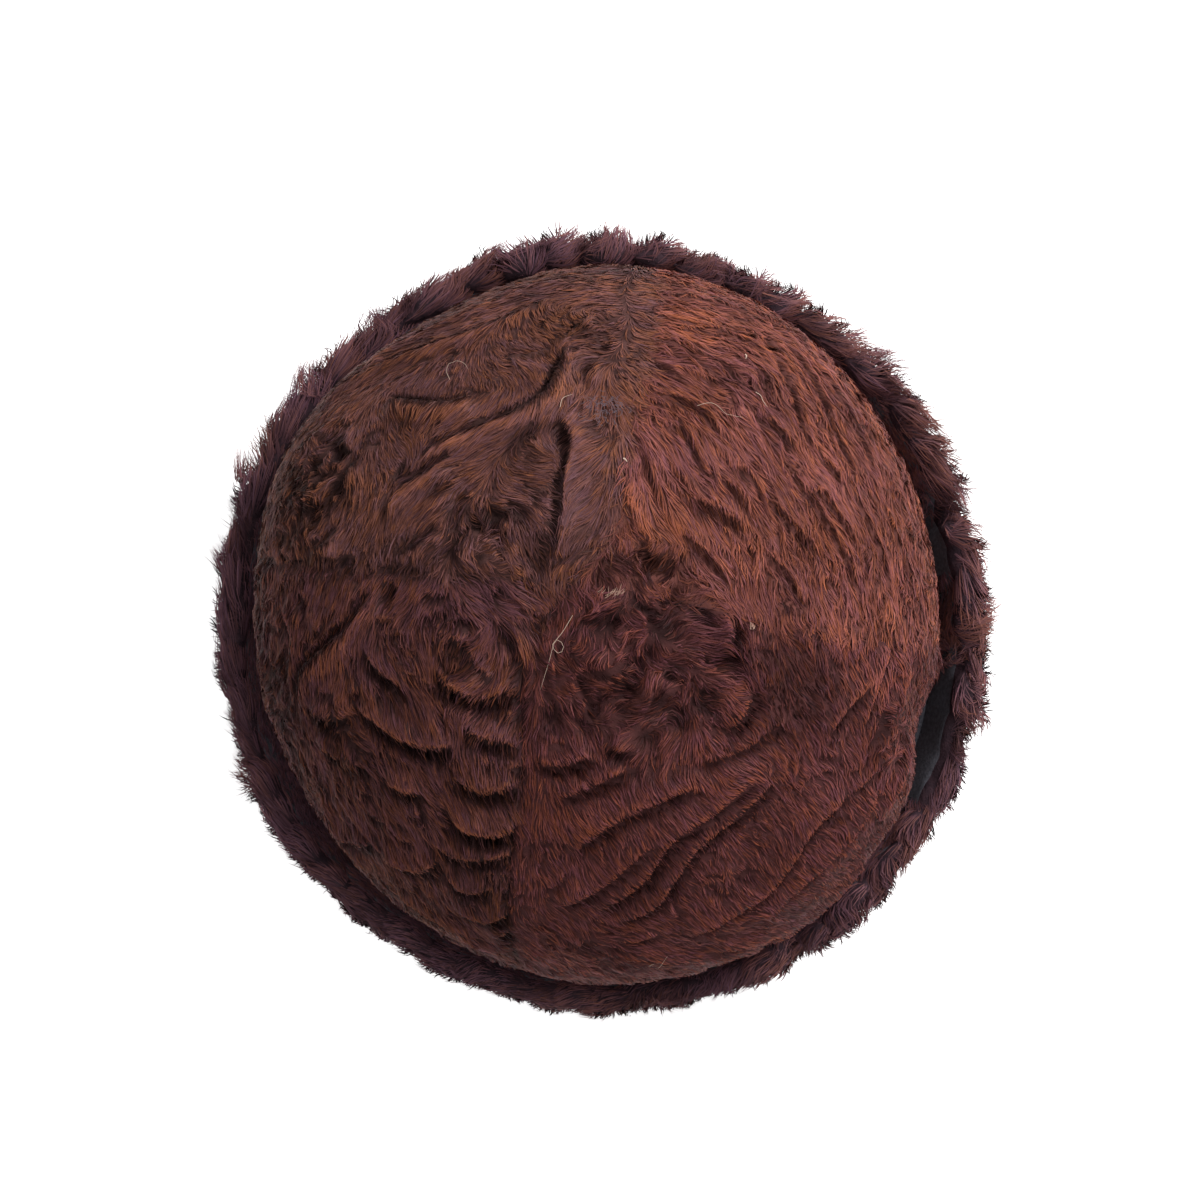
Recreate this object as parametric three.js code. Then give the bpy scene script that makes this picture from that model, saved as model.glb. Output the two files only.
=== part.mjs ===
// A lambskin hat: a domed crown sewn of four fur quarters, inside a fur brim that is turned up.
// Millimetres, +Z up, +X to the wearer's right as seen from above, +Y to the back.
// The hat stands on the fold of its brim, and the origin lies on the table under its middle.
import * as THREE from "three";

// Driving sizes of the crown
const CROWN_RADIUS = 110;
const CROWN_HEIGHT = 127;
const FULLEST_HEIGHT = 70;
const DOME_POWER = 2.2;
const HEAD_RADIUS = 92.5;
const PELT_WALL = 5;

// Driving sizes of the turned-up cuff and of the cloth that faces it
const CUFF_HEIGHT = 48;
const CUFF_WALL = 8;
const STAND_OFF = 8;
const FOLD_FLOOR = 4;
const FOLD_ROUND = 7;
const TUFT_RISE = 4;
const CURL_RELIEF = 1.2;
const FACING_WALL = 1.2;

// Clearances
const SEAM_GAP = 0.3;
const SEAT_GAP = 0.3;
const FACING_GAP = 0.5;

// Relief of the crown
const SEAM_DIP = 1.4;
const SEAM_DIP_WIDTH = 12;
const RIDGE_RISE = 3;
const RIDGE_WIDTH = 10;
const RELIEF_FADE = 16;

// How finely the surfaces are cut. The inside of a panel keeps every second point of the outside.
const COLUMNS = 24;
const ROWS_ABOVE = 20;
const ROWS_BELOW = 8;
const INSIDE_STEP = 2;
const CUFF_SECTIONS = 96;

// Locks round the cuff: two counts that fall in and out of step, so that no two look alike
const TUFTS = 31;
const FINE_TUFTS = 43;

const ROWS = ROWS_ABOVE + ROWS_BELOW;
const FULLEST_REACH = ROWS_ABOVE / ROWS;
const FOOT_HEIGHT = FOLD_FLOOR + SEAT_GAP;
const DEGREE = Math.PI / 180;
const FULL_TURN = 360;
const HALF_TURN = FULL_TURN / 2;

// Length of the short steps that give a surface's direction, as a share of the flat pelt's radius
const SHORT_STEP = 0.001;

// Halfway round a quarter circle, this share of its radius is left to either side
const FOLD_EASE = 1 - Math.SQRT1_2;

// Outline of the hat seen from above, a row every 30 degrees, starting at the wearer's right.
// crown: share of CROWN_RADIUS. head: share of HEAD_RADIUS. rise: share of CUFF_HEIGHT.
// off: share of STAND_OFF. tuft: share of TUFT_RISE.
const OUTLINE = [
  { bearing: 0, crown: 0.94, head: 0.965, rise: 1.06, off: 1.0, tuft: 0.9 },
  { bearing: 30, crown: 0.95, head: 0.98, rise: 1.06, off: 1.0, tuft: 0.6 },
  { bearing: 60, crown: 0.985, head: 1.01, rise: 1.04, off: 0.45, tuft: 0.8 },
  { bearing: 90, crown: 1.0, head: 1.03, rise: 1.04, off: 0.75, tuft: 1.0 },
  { bearing: 120, crown: 0.975, head: 1.01, rise: 1.0, off: 0.75, tuft: 0.7 },
  { bearing: 150, crown: 1.01, head: 0.98, rise: 0.98, off: 0.75, tuft: 0.5 },
  { bearing: 180, crown: 0.98, head: 0.965, rise: 0.96, off: 1.0, tuft: 0.4 },
  { bearing: 210, crown: 0.97, head: 0.98, rise: 0.92, off: 1.2, tuft: 0.4 },
  { bearing: 240, crown: 0.995, head: 1.01, rise: 0.84, off: 0.75, tuft: 0.3 },
  { bearing: 270, crown: 1.03, head: 1.03, rise: 0.86, off: 0.55, tuft: 0.3 },
  { bearing: 300, crown: 1.02, head: 1.01, rise: 0.94, off: 0.6, tuft: 0.6 },
  { bearing: 330, crown: 0.99, head: 0.98, rise: 1.0, off: 0.85, tuft: 0.8 },
];

// Places where the cuff's strip ends or is joined: depth as a share of CUFF_HEIGHT, half in degrees.
const CUFF_NOTCHES = [
  { bearing: 18, depth: 0.2, half: 4 },
  { bearing: 278, depth: 0.1, half: 5 },
  { bearing: 301, depth: 0.12, half: 4 },
];

// Levels of the cuff's wall as shares of its height above the fold. The facing ends at the third.
// lean: share of STAND_OFF reached there. full: thickness there, a share of CUFF_WALL.
// swell: share of CURL_RELIEF by which every second lock stands out.
const CUFF_LEVELS = [
  { share: 0.0, lean: 0.0, full: 1.5, swell: 0 },
  { share: 0.35, lean: 0.2, full: 1.85, swell: 1 },
  { share: 0.7, lean: 0.62, full: 1.5, swell: -1 },
  { share: 0.93, lean: 1.0, full: 1.0, swell: 1 },
];
const FACING_LEVELS = 3;

// Where the four seams meet and how each runs from there, seen from above: shares of CROWN_RADIUS
// to the right of and behind the top of the crown, then its bearing at the crown's foot.
const MEETING = { right: -0.075, back: 0.045 };
const SEAMS = {
  right: [{ right: 0.16, back: 0.0 }, { right: 0.39, back: -0.06 }, { foot: -1 }],
  back: [{ right: 0.01, back: 0.13 }, { right: 0.04, back: 0.36 }, { foot: 87 }],
  left: [{ right: -0.36, back: 0.06 }, { right: -0.64, back: 0.1 }, { foot: 170 }],
  front: [{ right: -0.18, back: -0.07 }, { right: -0.2, back: -0.4 }, { foot: 262 }],
};

// Main folds of the fur, seen from above: ends as shares of CROWN_RADIUS from the top,
// bow: sideways bend as a share of the fold's length, width and rise: shares of the named sizes.
const RIDGES = {
  crown_panel_back_right: [
    { right: 0.12, back: 0.86, toRight: 0.74, toBack: 0.42, bow: 0.08, width: 0.8, rise: 0.8 },
    { right: 0.1, back: 0.68, toRight: 0.78, toBack: 0.24, bow: 0.06, width: 0.8, rise: 0.9 },
    { right: 0.12, back: 0.5, toRight: 0.66, toBack: 0.12, bow: 0.04, width: 0.8, rise: 0.8 },
    { right: 0.12, back: 0.32, toRight: 0.52, toBack: 0.06, bow: 0.04, width: 0.8, rise: 0.7 },
    { right: 0.62, back: 0.66, toRight: 0.9, toBack: 0.16, bow: 0.1, width: 0.8, rise: 0.8 },
  ],
  crown_panel_back_left: [
    { right: -0.06, back: 0.82, toRight: -0.52, toBack: 0.66, bow: 0.06, width: 1.1, rise: 1.0 },
    { right: -0.06, back: 0.62, toRight: -0.62, toBack: 0.44, bow: 0.06, width: 1.1, rise: 1.1 },
    { right: -0.08, back: 0.42, toRight: -0.78, toBack: 0.28, bow: 0.05, width: 1.0, rise: 1.0 },
    { right: -0.14, back: 0.22, toRight: -0.8, toBack: 0.14, bow: -0.05, width: 0.9, rise: 0.9 },
    { right: -0.62, back: 0.6, toRight: -0.86, toBack: 0.34, bow: 0.08, width: 0.9, rise: 0.8 },
  ],
  crown_panel_front_left: [
    { right: -0.86, back: -0.1, toRight: -0.4, toBack: 0.0, bow: 0.12, width: 1.0, rise: 1.0 },
    { right: -0.6, back: -0.26, toRight: -0.28, toBack: -0.12, bow: -0.2, width: 1.0, rise: 1.2 },
    { right: -0.76, back: -0.4, toRight: -0.26, toBack: -0.38, bow: 0.06, width: 0.9, rise: 1.1 },
    { right: -0.72, back: -0.54, toRight: -0.25, toBack: -0.54, bow: 0.06, width: 0.9, rise: 1.1 },
    { right: -0.64, back: -0.68, toRight: -0.23, toBack: -0.68, bow: 0.05, width: 0.9, rise: 1.0 },
    { right: -0.54, back: -0.82, toRight: -0.22, toBack: -0.84, bow: 0.05, width: 0.9, rise: 0.9 },
  ],
  crown_panel_front_right: [
    { right: 0.0, back: -0.14, toRight: 0.28, toBack: -0.26, bow: 0.2, width: 0.9, rise: 1.2 },
    { right: 0.1, back: -0.42, toRight: 0.34, toBack: -0.14, bow: -0.2, width: 0.9, rise: 1.1 },
    { right: -0.12, back: -0.68, toRight: 0.4, toBack: -0.4, bow: 0.08, width: 1.1, rise: 0.9 },
    { right: -0.1, back: -0.92, toRight: 0.66, toBack: -0.46, bow: 0.08, width: 1.2, rise: 1.0 },
    { right: 0.14, back: -0.96, toRight: 0.8, toBack: -0.54, bow: 0.06, width: 1.1, rise: 0.9 },
    { right: 0.44, back: -0.2, toRight: 0.88, toBack: -0.16, bow: 0.06, width: 1.0, rise: 0.7 },
  ],
};

// A column of OUTLINE at a bearing: a smooth closed curve through the rows.
function outlineAt(column, bearing) {
  const step = FULL_TURN / OUTLINE.length;
  const turns = THREE.MathUtils.euclideanModulo(bearing, FULL_TURN) / step;
  const row = Math.floor(turns);
  const values = [-1, 0, 1, 2].map(
    (k) => OUTLINE[(row + k + OUTLINE.length) % OUTLINE.length][column],
  );
  const part = turns - row;
  const before = (values[2] - values[0]) / 2;
  const after = (values[3] - values[1]) / 2;
  const bend = 2 * (values[1] - values[2]) + before + after;
  const slope = 3 * (values[2] - values[1]) - 2 * before - after;
  return ((bend * part + slope) * part + before) * part + values[1];
}

// A smooth step from 0 to 1 as the share goes from 0 to 1.
function smooth(share) {
  return THREE.MathUtils.smoothstep(share, 0, 1);
}

// An arch that is 0 at both ends and 1 in the middle.
function arch(share) {
  return 4 * share * (1 - share);
}

// Radius of the crown's outside at its foot, where it stands in the fold.
function footRadius(bearing) {
  return HEAD_RADIUS * outlineAt("head", bearing) + PELT_WALL;
}

// Radius of the crown's outside below its fullest height.
function crownRadiusAt(bearing, height) {
  const foot = footRadius(bearing);
  const fullest = CROWN_RADIUS * outlineAt("crown", bearing);
  const share = (height - FOOT_HEIGHT) / (FULLEST_HEIGHT - FOOT_HEIGHT);
  return foot + (fullest - foot) * smooth(share);
}

// Height of the cuff's upper edge, notches included.
function cuffRise(bearing) {
  let rise = CUFF_HEIGHT * outlineAt("rise", bearing);
  for (const notch of CUFF_NOTCHES) {
    const turned = THREE.MathUtils.euclideanModulo(bearing - notch.bearing + HALF_TURN, FULL_TURN);
    const away = Math.abs(turned - HALF_TURN);
    rise -= CUFF_HEIGHT * notch.depth * smooth(1 - away / notch.half);
  }
  return rise;
}

// A point of the smooth crown from its place on the pelt laid out flat: x and y there are
// measured from the top of the crown, and the foot of the crown lies on the unit circle.
function crownPoint(x, y) {
  const reach = Math.hypot(x, y);
  const bearing = Math.atan2(y, x) / DEGREE;
  let radius;
  let height;
  if (reach <= FULLEST_REACH) {
    const angle = (Math.PI / 2) * (reach / FULLEST_REACH);
    const power = 2 / DOME_POWER;
    const above = CROWN_HEIGHT - FULLEST_HEIGHT;
    radius = CROWN_RADIUS * outlineAt("crown", bearing) * Math.sin(angle) ** power;
    height = FULLEST_HEIGHT + above * Math.max(Math.cos(angle), 0) ** power;
  } else {
    const below = (1 - reach) / (1 - FULLEST_REACH);
    height = FOOT_HEIGHT + (FULLEST_HEIGHT - FOOT_HEIGHT) * below;
    radius = crownRadiusAt(bearing, height);
  }
  const turn = bearing * DEGREE;
  return new THREE.Vector3(radius * Math.cos(turn), radius * Math.sin(turn), height);
}

// The crown's outward direction at a place on the flat pelt, from two short steps along it.
function crownNormal(x, y) {
  const along = crownPoint(x + SHORT_STEP, y).sub(crownPoint(x - SHORT_STEP, y));
  const across = crownPoint(x, y + SHORT_STEP).sub(crownPoint(x, y - SHORT_STEP));
  return along.cross(across).normalize();
}

// Where a point seen from above lies on the flat pelt: the dome's curve turned round.
function pelt(right, back) {
  const seen = Math.min(Math.hypot(right, back), 1);
  const angle = Math.asin(seen ** (DOME_POWER / 2));
  const reach = (angle / (Math.PI / 2)) * FULLEST_REACH;
  const scale = seen > 0 ? reach / seen : 0;
  return new THREE.Vector2(right * scale, back * scale);
}

// A seam on the flat pelt: a smooth line from the meeting point, read by its share of the way.
function seamLine(rows) {
  const points = [MEETING, ...rows].map((row) => {
    if (row.foot === undefined) return pelt(row.right, row.back);
    return new THREE.Vector2(Math.cos(row.foot * DEGREE), Math.sin(row.foot * DEGREE));
  });
  const flat = points.map((point) => new THREE.Vector3(point.x, point.y, 0));
  const line = new THREE.CatmullRomCurve3(flat, false, "centripetal");
  return (share) => {
    const at = line.getPointAt(share);
    return new THREE.Vector2(at.x, at.y);
  };
}

const seam = {
  right: seamLine(SEAMS.right),
  back: seamLine(SEAMS.back),
  left: seamLine(SEAMS.left),
  front: seamLine(SEAMS.front),
};

// The four quarters, each from its first seam to its second, turning left as seen from above.
const PANELS = [
  { name: "crown_panel_back_right", color: 0x5c2f25, first: "right", second: "back" },
  { name: "crown_panel_back_left", color: 0x45291f, first: "back", second: "left" },
  { name: "crown_panel_front_left", color: 0x3a211b, first: "left", second: "front" },
  { name: "crown_panel_front_right", color: 0x44221c, first: "front", second: "right" },
];
const CUFF_COLOR = 0x33201d;
const FACING_COLOR = 0x33313a;
const FUR_ROUGHNESS = 0.75;
const CLOTH_ROUGHNESS = 0.9;

// A place on a panel's flat pelt: straight rays from its corner to the foot, bent by both seams.
function panelPlace(panel, column, row) {
  const a = column / COLUMNS;
  const v = row / ROWS;
  const first = seam[panel.first];
  const second = seam[panel.second];
  const corner = first(0);
  const ray = (bearing) => {
    const foot = new THREE.Vector2(Math.cos(bearing * DEGREE), Math.sin(bearing * DEGREE));
    return corner.clone().lerp(foot, v);
  };
  const from = SEAMS[panel.first].at(-1).foot;
  const turn = THREE.MathUtils.euclideanModulo(SEAMS[panel.second].at(-1).foot - from, FULL_TURN);
  const place = ray(from + turn * a);
  place.addScaledVector(first(v).sub(ray(from)), 1 - a);
  place.addScaledVector(second(v).sub(ray(from + turn)), a);
  return place;
}

// The foot of a perpendicular on a bowed fold: how far off it lies, and how far along it is.
function nearestOnRidge(place, start, end, bow) {
  const run = end.clone().sub(start);
  const length = run.length();
  const out = place.clone().sub(start);
  const along = out.dot(run) / (length * length);
  const held = THREE.MathUtils.clamp(along, 0, 1);
  const side = new THREE.Vector2(-run.y, run.x).multiplyScalar(bow * arch(held));
  const on = start.clone().addScaledVector(run, held).add(side);
  return { away: place.distanceTo(on), along: held };
}

// Length of the crown's profile from top to foot, for turning flat places into millimetres.
function profileLength() {
  let length = 0;
  for (let k = 1; k <= ROWS; k += 1) {
    length += crownPoint(k / ROWS, 0).distanceTo(crownPoint((k - 1) / ROWS, 0));
  }
  return length;
}
const PROFILE_LENGTH = profileLength();

// How far the fur stands out at a place: folds, less the valley along both seams.
function relief(panel, place, column, row) {
  let rise = 0;
  for (const ridge of RIDGES[panel.name]) {
    const start = pelt(ridge.right, ridge.back);
    const end = pelt(ridge.toRight, ridge.toBack);
    const near = nearestOnRidge(place, start, end, ridge.bow);
    const width = RIDGE_WIDTH * ridge.width;
    const share = smooth(1 - (near.away * PROFILE_LENGTH) / width);
    rise = Math.max(rise, RIDGE_RISE * ridge.rise * share);
  }
  const v = row / ROWS;
  const seams = [seam[panel.first](v), seam[panel.second](v)];
  const toSeam = Math.min(...seams.map((point) => place.distanceTo(point)));
  const dip = smooth(1 - (toSeam * PROFILE_LENGTH) / SEAM_DIP_WIDTH);
  const onSeam = column === 0 || column === COLUMNS;
  const raised = onSeam ? -SEAM_DIP : rise * (1 - dip) - SEAM_DIP * dip;
  const bearing = Math.atan2(place.y, place.x) / DEGREE;
  const clear = crownPoint(place.x, place.y).z - cuffRise(bearing) - TUFT_RISE;
  return raised * smooth(clear / RELIEF_FADE);
}

// Corners of a panel's wall at a grid point: its place on the outside and the inside.
function panelCorner(panel, column, row) {
  const place = panelPlace(panel, column, row);
  const normal = crownNormal(place.x, place.y);
  const inward = new THREE.Vector3();
  const share = row / ROWS;
  const step = 1 / ROWS;
  for (const [line, turn, onEdge] of [
    [seam[panel.first], 1, column === 0],
    [seam[panel.second], -1, column === COLUMNS],
  ]) {
    if (!onEdge && row > 0) continue;
    const ahead = line(Math.min(share + step, 1));
    const behind = line(Math.max(share - step, 0));
    const run = crownPoint(ahead.x, ahead.y).sub(crownPoint(behind.x, behind.y));
    inward.add(normal.clone().cross(run).normalize().multiplyScalar(turn * (SEAM_GAP / 2)));
  }
  const surface = crownPoint(place.x, place.y).add(inward);
  const raised = relief(panel, place, row === 0 ? 0 : column, row);
  const outside = surface.clone().addScaledVector(normal, raised);
  const inside = surface.clone().addScaledVector(normal, -PELT_WALL);
  if (row === ROWS) inside.z = outside.z;
  return { outside, inside };
}

// A closed wall between two grids: the outer one fine, the inner one with every second point.
function panelGeometry(panel) {
  const positions = [];
  const outer = [];
  const inner = [];
  for (let row = 0; row <= ROWS; row += 1) {
    outer.push([]);
    inner.push([]);
    for (let column = 0; column <= COLUMNS; column += 1) {
      if (row === 0 && column > 0) {
        outer[row].push(outer[row][0]);
        inner[row].push(inner[row][0]);
        continue;
      }
      const { outside, inside } = panelCorner(panel, column, row);
      outer[row].push(positions.push(outside) - 1);
      const kept = row % INSIDE_STEP === 0 && column % INSIDE_STEP === 0;
      inner[row].push(kept ? positions.push(inside) - 1 : -1);
    }
  }
  const triangles = [];
  const triangle = (a, b, c) => {
    if (a !== b && b !== c && c !== a) triangles.push(a, b, c);
  };
  for (let row = 0; row < ROWS; row += 1) {
    for (let column = 0; column < COLUMNS; column += 1) {
      const near = outer[row];
      const far = outer[row + 1];
      triangle(near[column], far[column], far[column + 1]);
      triangle(near[column], far[column + 1], near[column + 1]);
    }
  }
  for (let row = 0; row < ROWS; row += INSIDE_STEP) {
    for (let column = 0; column < COLUMNS; column += INSIDE_STEP) {
      const near = inner[row];
      const far = inner[row + INSIDE_STEP];
      triangle(near[column], far[column + INSIDE_STEP], far[column]);
      triangle(near[column], near[column + INSIDE_STEP], far[column + INSIDE_STEP]);
    }
  }
  // A strip of the wall's edge between three outer and two inner points.
  const strip = (outers, inners) => {
    triangle(outers[0], outers[1], inners[0]);
    triangle(outers[1], inners[1], inners[0]);
    triangle(outers[1], outers[2], inners[1]);
  };
  for (let row = 0; row < ROWS; row += INSIDE_STEP) {
    const next = row + INSIDE_STEP;
    const first = [next, row + 1, row].map((k) => outer[k][0]);
    strip(first, [inner[next][0], inner[row][0]]);
    const last = [row, row + 1, next].map((k) => outer[k][COLUMNS]);
    strip(last, [inner[row][COLUMNS], inner[next][COLUMNS]]);
  }
  for (let column = 0; column < COLUMNS; column += INSIDE_STEP) {
    const next = column + INSIDE_STEP;
    const foot = [next, column + 1, column].map((k) => outer[ROWS][k]);
    strip(foot, [inner[ROWS][next], inner[ROWS][column]]);
  }
  return closedGeometry(positions, triangles);
}

// A buffer geometry from points and the triangles between them.
function closedGeometry(points, triangles) {
  const geometry = new THREE.BufferGeometry();
  geometry.setFromPoints(points);
  geometry.setIndex(triangles);
  geometry.computeVertexNormals();
  return geometry;
}

// The cuff's inner face at a level: just clear of the crown and its facing, leaning away upward.
function cuffInnerPoint(bearing, level) {
  const height = FOLD_FLOOR + (cuffRise(bearing) - FOLD_FLOOR) * level.share;
  const room = FACING_GAP + FACING_WALL + SEAT_GAP;
  const lean = STAND_OFF * outlineAt("off", bearing) * level.lean;
  return { radius: crownRadiusAt(bearing, height) + room + lean, height };
}

// A closed cross-section of the cuff, from the fold's inner corner round by the outside.
function cuffSection(bearing) {
  const head = HEAD_RADIUS * outlineAt("head", bearing);
  const inner = CUFF_LEVELS.map((level) => cuffInnerPoint(bearing, level));
  const heel = inner[0].radius + CUFF_WALL * CUFF_LEVELS[0].full;
  const waves = Math.cos(TUFTS * bearing * DEGREE) + Math.cos(FINE_TUFTS * bearing * DEGREE);
  const outer = inner.slice(1).map((point, k) => {
    const { full, swell } = CUFF_LEVELS[k + 1];
    const curl = CURL_RELIEF * swell * waves;
    return { radius: point.radius + CUFF_WALL * full + curl, height: point.height };
  });
  const top = inner.at(-1);
  const tuft = THREE.MathUtils.mapLinear(waves, -2, 2, 0, 1);
  const crest = {
    radius: top.radius + CUFF_WALL / 2,
    height: cuffRise(bearing) + TUFT_RISE * outlineAt("tuft", bearing) * tuft,
  };
  return [
    { radius: head, height: 0 },
    { radius: heel - FOLD_ROUND, height: 0 },
    { radius: heel - FOLD_ROUND * FOLD_EASE, height: FOLD_ROUND * FOLD_EASE },
    { radius: heel, height: FOLD_ROUND },
    ...outer,
    crest,
    ...inner.slice().reverse(),
    { radius: head, height: FOLD_FLOOR },
  ];
}

// A closed cross-section of the facing, which lies along the lower levels of the cuff's inner face.
function facingSection(bearing) {
  const face = CUFF_LEVELS.slice(0, FACING_LEVELS).map((level) => cuffInnerPoint(bearing, level));
  face[0].height += SEAT_GAP;
  const outer = face.map(({ radius, height }) => ({ radius: radius - SEAT_GAP, height }));
  const inner = outer.map(({ radius, height }) => ({ radius: radius - FACING_WALL, height }));
  return [...outer, ...inner.reverse()];
}

// A ring through closed cross-sections, one at each bearing round the hat.
function ringGeometry(section) {
  const points = [];
  const triangles = [];
  let size = 0;
  for (let k = 0; k < CUFF_SECTIONS; k += 1) {
    const bearing = (FULL_TURN * k) / CUFF_SECTIONS;
    const corners = section(bearing);
    size = corners.length;
    for (const { radius, height } of corners) {
      const turn = bearing * DEGREE;
      points.push(new THREE.Vector3(radius * Math.cos(turn), radius * Math.sin(turn), height));
    }
  }
  for (let k = 0; k < CUFF_SECTIONS; k += 1) {
    const here = k * size;
    const next = ((k + 1) % CUFF_SECTIONS) * size;
    for (let j = 0; j < size; j += 1) {
      const up = (j + 1) % size;
      triangles.push(here + j, next + j, next + up);
      triangles.push(here + j, next + up, here + up);
    }
  }
  return closedGeometry(points, triangles);
}

// A named piece with its own material.
function piece(name, geometry, color, roughness) {
  const material = new THREE.MeshStandardMaterial({ color, roughness, metalness: 0 });
  const mesh = new THREE.Mesh(geometry, material);
  mesh.name = name;
  return mesh;
}

function turnedUpCuff() {
  return piece("turned_up_cuff", ringGeometry(cuffSection), CUFF_COLOR, FUR_ROUGHNESS);
}

function cuffFacing() {
  return piece("cuff_facing", ringGeometry(facingSection), FACING_COLOR, CLOTH_ROUGHNESS);
}

function crownPanel(panel) {
  return piece(panel.name, panelGeometry(panel), panel.color, FUR_ROUGHNESS);
}

const hat = new THREE.Group();
for (const panel of PANELS) hat.add(crownPanel(panel));
hat.add(turnedUpCuff(), cuffFacing());

// The origin lies under the middle of the outline.
const middle = new THREE.Box3().setFromObject(hat).getCenter(new THREE.Vector3());
hat.position.set(-middle.x, -middle.y, 0);

export default hat;
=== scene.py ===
import bpy
import numpy as np
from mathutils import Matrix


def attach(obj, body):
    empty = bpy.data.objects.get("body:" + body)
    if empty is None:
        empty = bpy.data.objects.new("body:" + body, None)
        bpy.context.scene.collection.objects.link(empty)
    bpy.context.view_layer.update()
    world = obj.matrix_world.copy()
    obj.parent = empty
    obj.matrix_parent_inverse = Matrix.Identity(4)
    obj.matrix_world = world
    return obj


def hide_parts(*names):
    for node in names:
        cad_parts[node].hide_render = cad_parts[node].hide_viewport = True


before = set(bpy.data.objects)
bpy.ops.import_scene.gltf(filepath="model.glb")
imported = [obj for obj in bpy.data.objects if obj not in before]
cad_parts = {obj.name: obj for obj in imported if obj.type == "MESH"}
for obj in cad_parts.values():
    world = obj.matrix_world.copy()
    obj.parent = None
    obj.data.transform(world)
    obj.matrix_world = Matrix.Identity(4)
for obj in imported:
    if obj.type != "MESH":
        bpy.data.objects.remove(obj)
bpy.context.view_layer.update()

# The shape of the crown
# Four quarters of short-haired lambskin are sewn edge to edge into a dome, which stands in the
# fold of the brim. Places on it are given on the skin laid out flat, in millimetres from the top.
# The axis that they are turned round stands a little off the middle of the hat's outline.
MM = 0.001
AXIS = np.array([0.49, -0.82, 0.0])
CROWN_RADIUS = 110.0
CROWN_HEIGHT = 127.0
FULLEST_HEIGHT = 70.0
FOOT_HEIGHT = 4.3
DOME_POWER = 2.2
FULLEST_REACH = 20 / 28
HEAD_RADIUS = 92.5
PELT_WALL = 5.0

# Shares of the sizes above, every 30 degrees from the right, turning left as seen from above
CROWN_SHARE = np.array([0.94, 0.95, 0.985, 1.0, 0.975, 1.01, 0.98, 0.97, 0.995, 1.03, 1.02, 0.99])
HEAD_SHARE = np.array([0.965, 0.98, 1.01, 1.03, 1.01, 0.98, 0.965, 0.98, 1.01, 1.03, 1.01, 0.98])


def around(column, bearing):
    """A closed smooth curve through a column's values: a cubic from each value to the next, whose
    slope at a value is half the step between the value's two neighbours."""
    turns = np.mod(bearing, 360.0) / (360.0 / len(column))
    row = np.floor(turns).astype(int)
    part = turns - row
    a, b, c, d = (column[(row + k) % len(column)] for k in (-1, 0, 1, 2))
    before = (c - a) / 2
    after = (d - b) / 2
    bend = 2 * (b - c) + before + after
    slope = 3 * (c - b) - 2 * before - after
    return ((bend * part + slope) * part + before) * part + b


def smooth(share):
    """The smooth step 3s^2 - 2s^3 of a share held between 0 and 1."""
    held = np.clip(share, 0.0, 1.0)
    return held * held * (3.0 - 2.0 * held)


def unit(vectors):
    """Vectors with a length of 1."""
    return vectors / np.maximum(np.linalg.norm(vectors, axis=-1, keepdims=True), 1e-9)


def cylindrical(radius, height, bearing):
    """Points at a radius and a height, turned round the axis to a bearing in degrees."""
    turn = np.radians(bearing)
    return np.stack([radius * np.cos(turn), radius * np.sin(turn), height], -1)


def crown_radius_at(bearing, height):
    """Below the fullest height the radius eases by a smooth step from the foot's to the crown's."""
    foot = HEAD_RADIUS * around(HEAD_SHARE, bearing) + PELT_WALL
    fullest = CROWN_RADIUS * around(CROWN_SHARE, bearing)
    share = (height - FOOT_HEIGHT) / (FULLEST_HEIGHT - FOOT_HEIGHT)
    return foot + (fullest - foot) * smooth(share)


def dome(reach, bearing):
    """The smooth crown at a reach, 0 at the top and 1 at the foot. Down to the fullest height the
    radius is R sin(t)^(2/p) and the height above it H cos(t)^(2/p), a quarter of an oval."""
    angle = np.clip(reach / FULLEST_REACH, 0.0, 1.0) * np.pi / 2
    power = 2 / DOME_POWER
    rise = np.maximum(np.cos(angle), 0.0) ** power
    over = FULLEST_HEIGHT + (CROWN_HEIGHT - FULLEST_HEIGHT) * rise
    below = (1.0 - reach) / (1.0 - FULLEST_REACH)
    under = FOOT_HEIGHT + (FULLEST_HEIGHT - FOOT_HEIGHT) * below
    on_top = reach <= FULLEST_REACH
    wide = CROWN_RADIUS * around(CROWN_SHARE, bearing) * np.sin(angle) ** power
    radius = np.where(on_top, wide, crown_radius_at(bearing, under))
    return cylindrical(radius, np.where(on_top, over, under), bearing)


profile = dome(np.linspace(0.0, 1.0, 29), np.zeros(29))
PROFILE_LENGTH = np.linalg.norm(np.diff(profile, axis=0), axis=1).sum()


def crown_point(flat):
    """The smooth crown at places on the flat skin, where the distance from the top is the reach
    times the profile's length and the direction is the bearing."""
    reach = np.linalg.norm(flat, axis=-1) / PROFILE_LENGTH
    return dome(reach, np.degrees(np.arctan2(flat[..., 1], flat[..., 0])))


def crown_frame(flat):
    """Points of the crown, its outward directions, and its two directions along the flat skin's
    x and y, from differences over a short step."""
    step = 0.2
    right = np.array([step, 0.0])
    back = np.array([0.0, step])
    east = crown_point(flat + right) - crown_point(flat - right)
    north = crown_point(flat + back) - crown_point(flat - back)
    normal = np.cross(east, north)
    return crown_point(flat), unit(normal), unit(east), unit(north)


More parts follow.
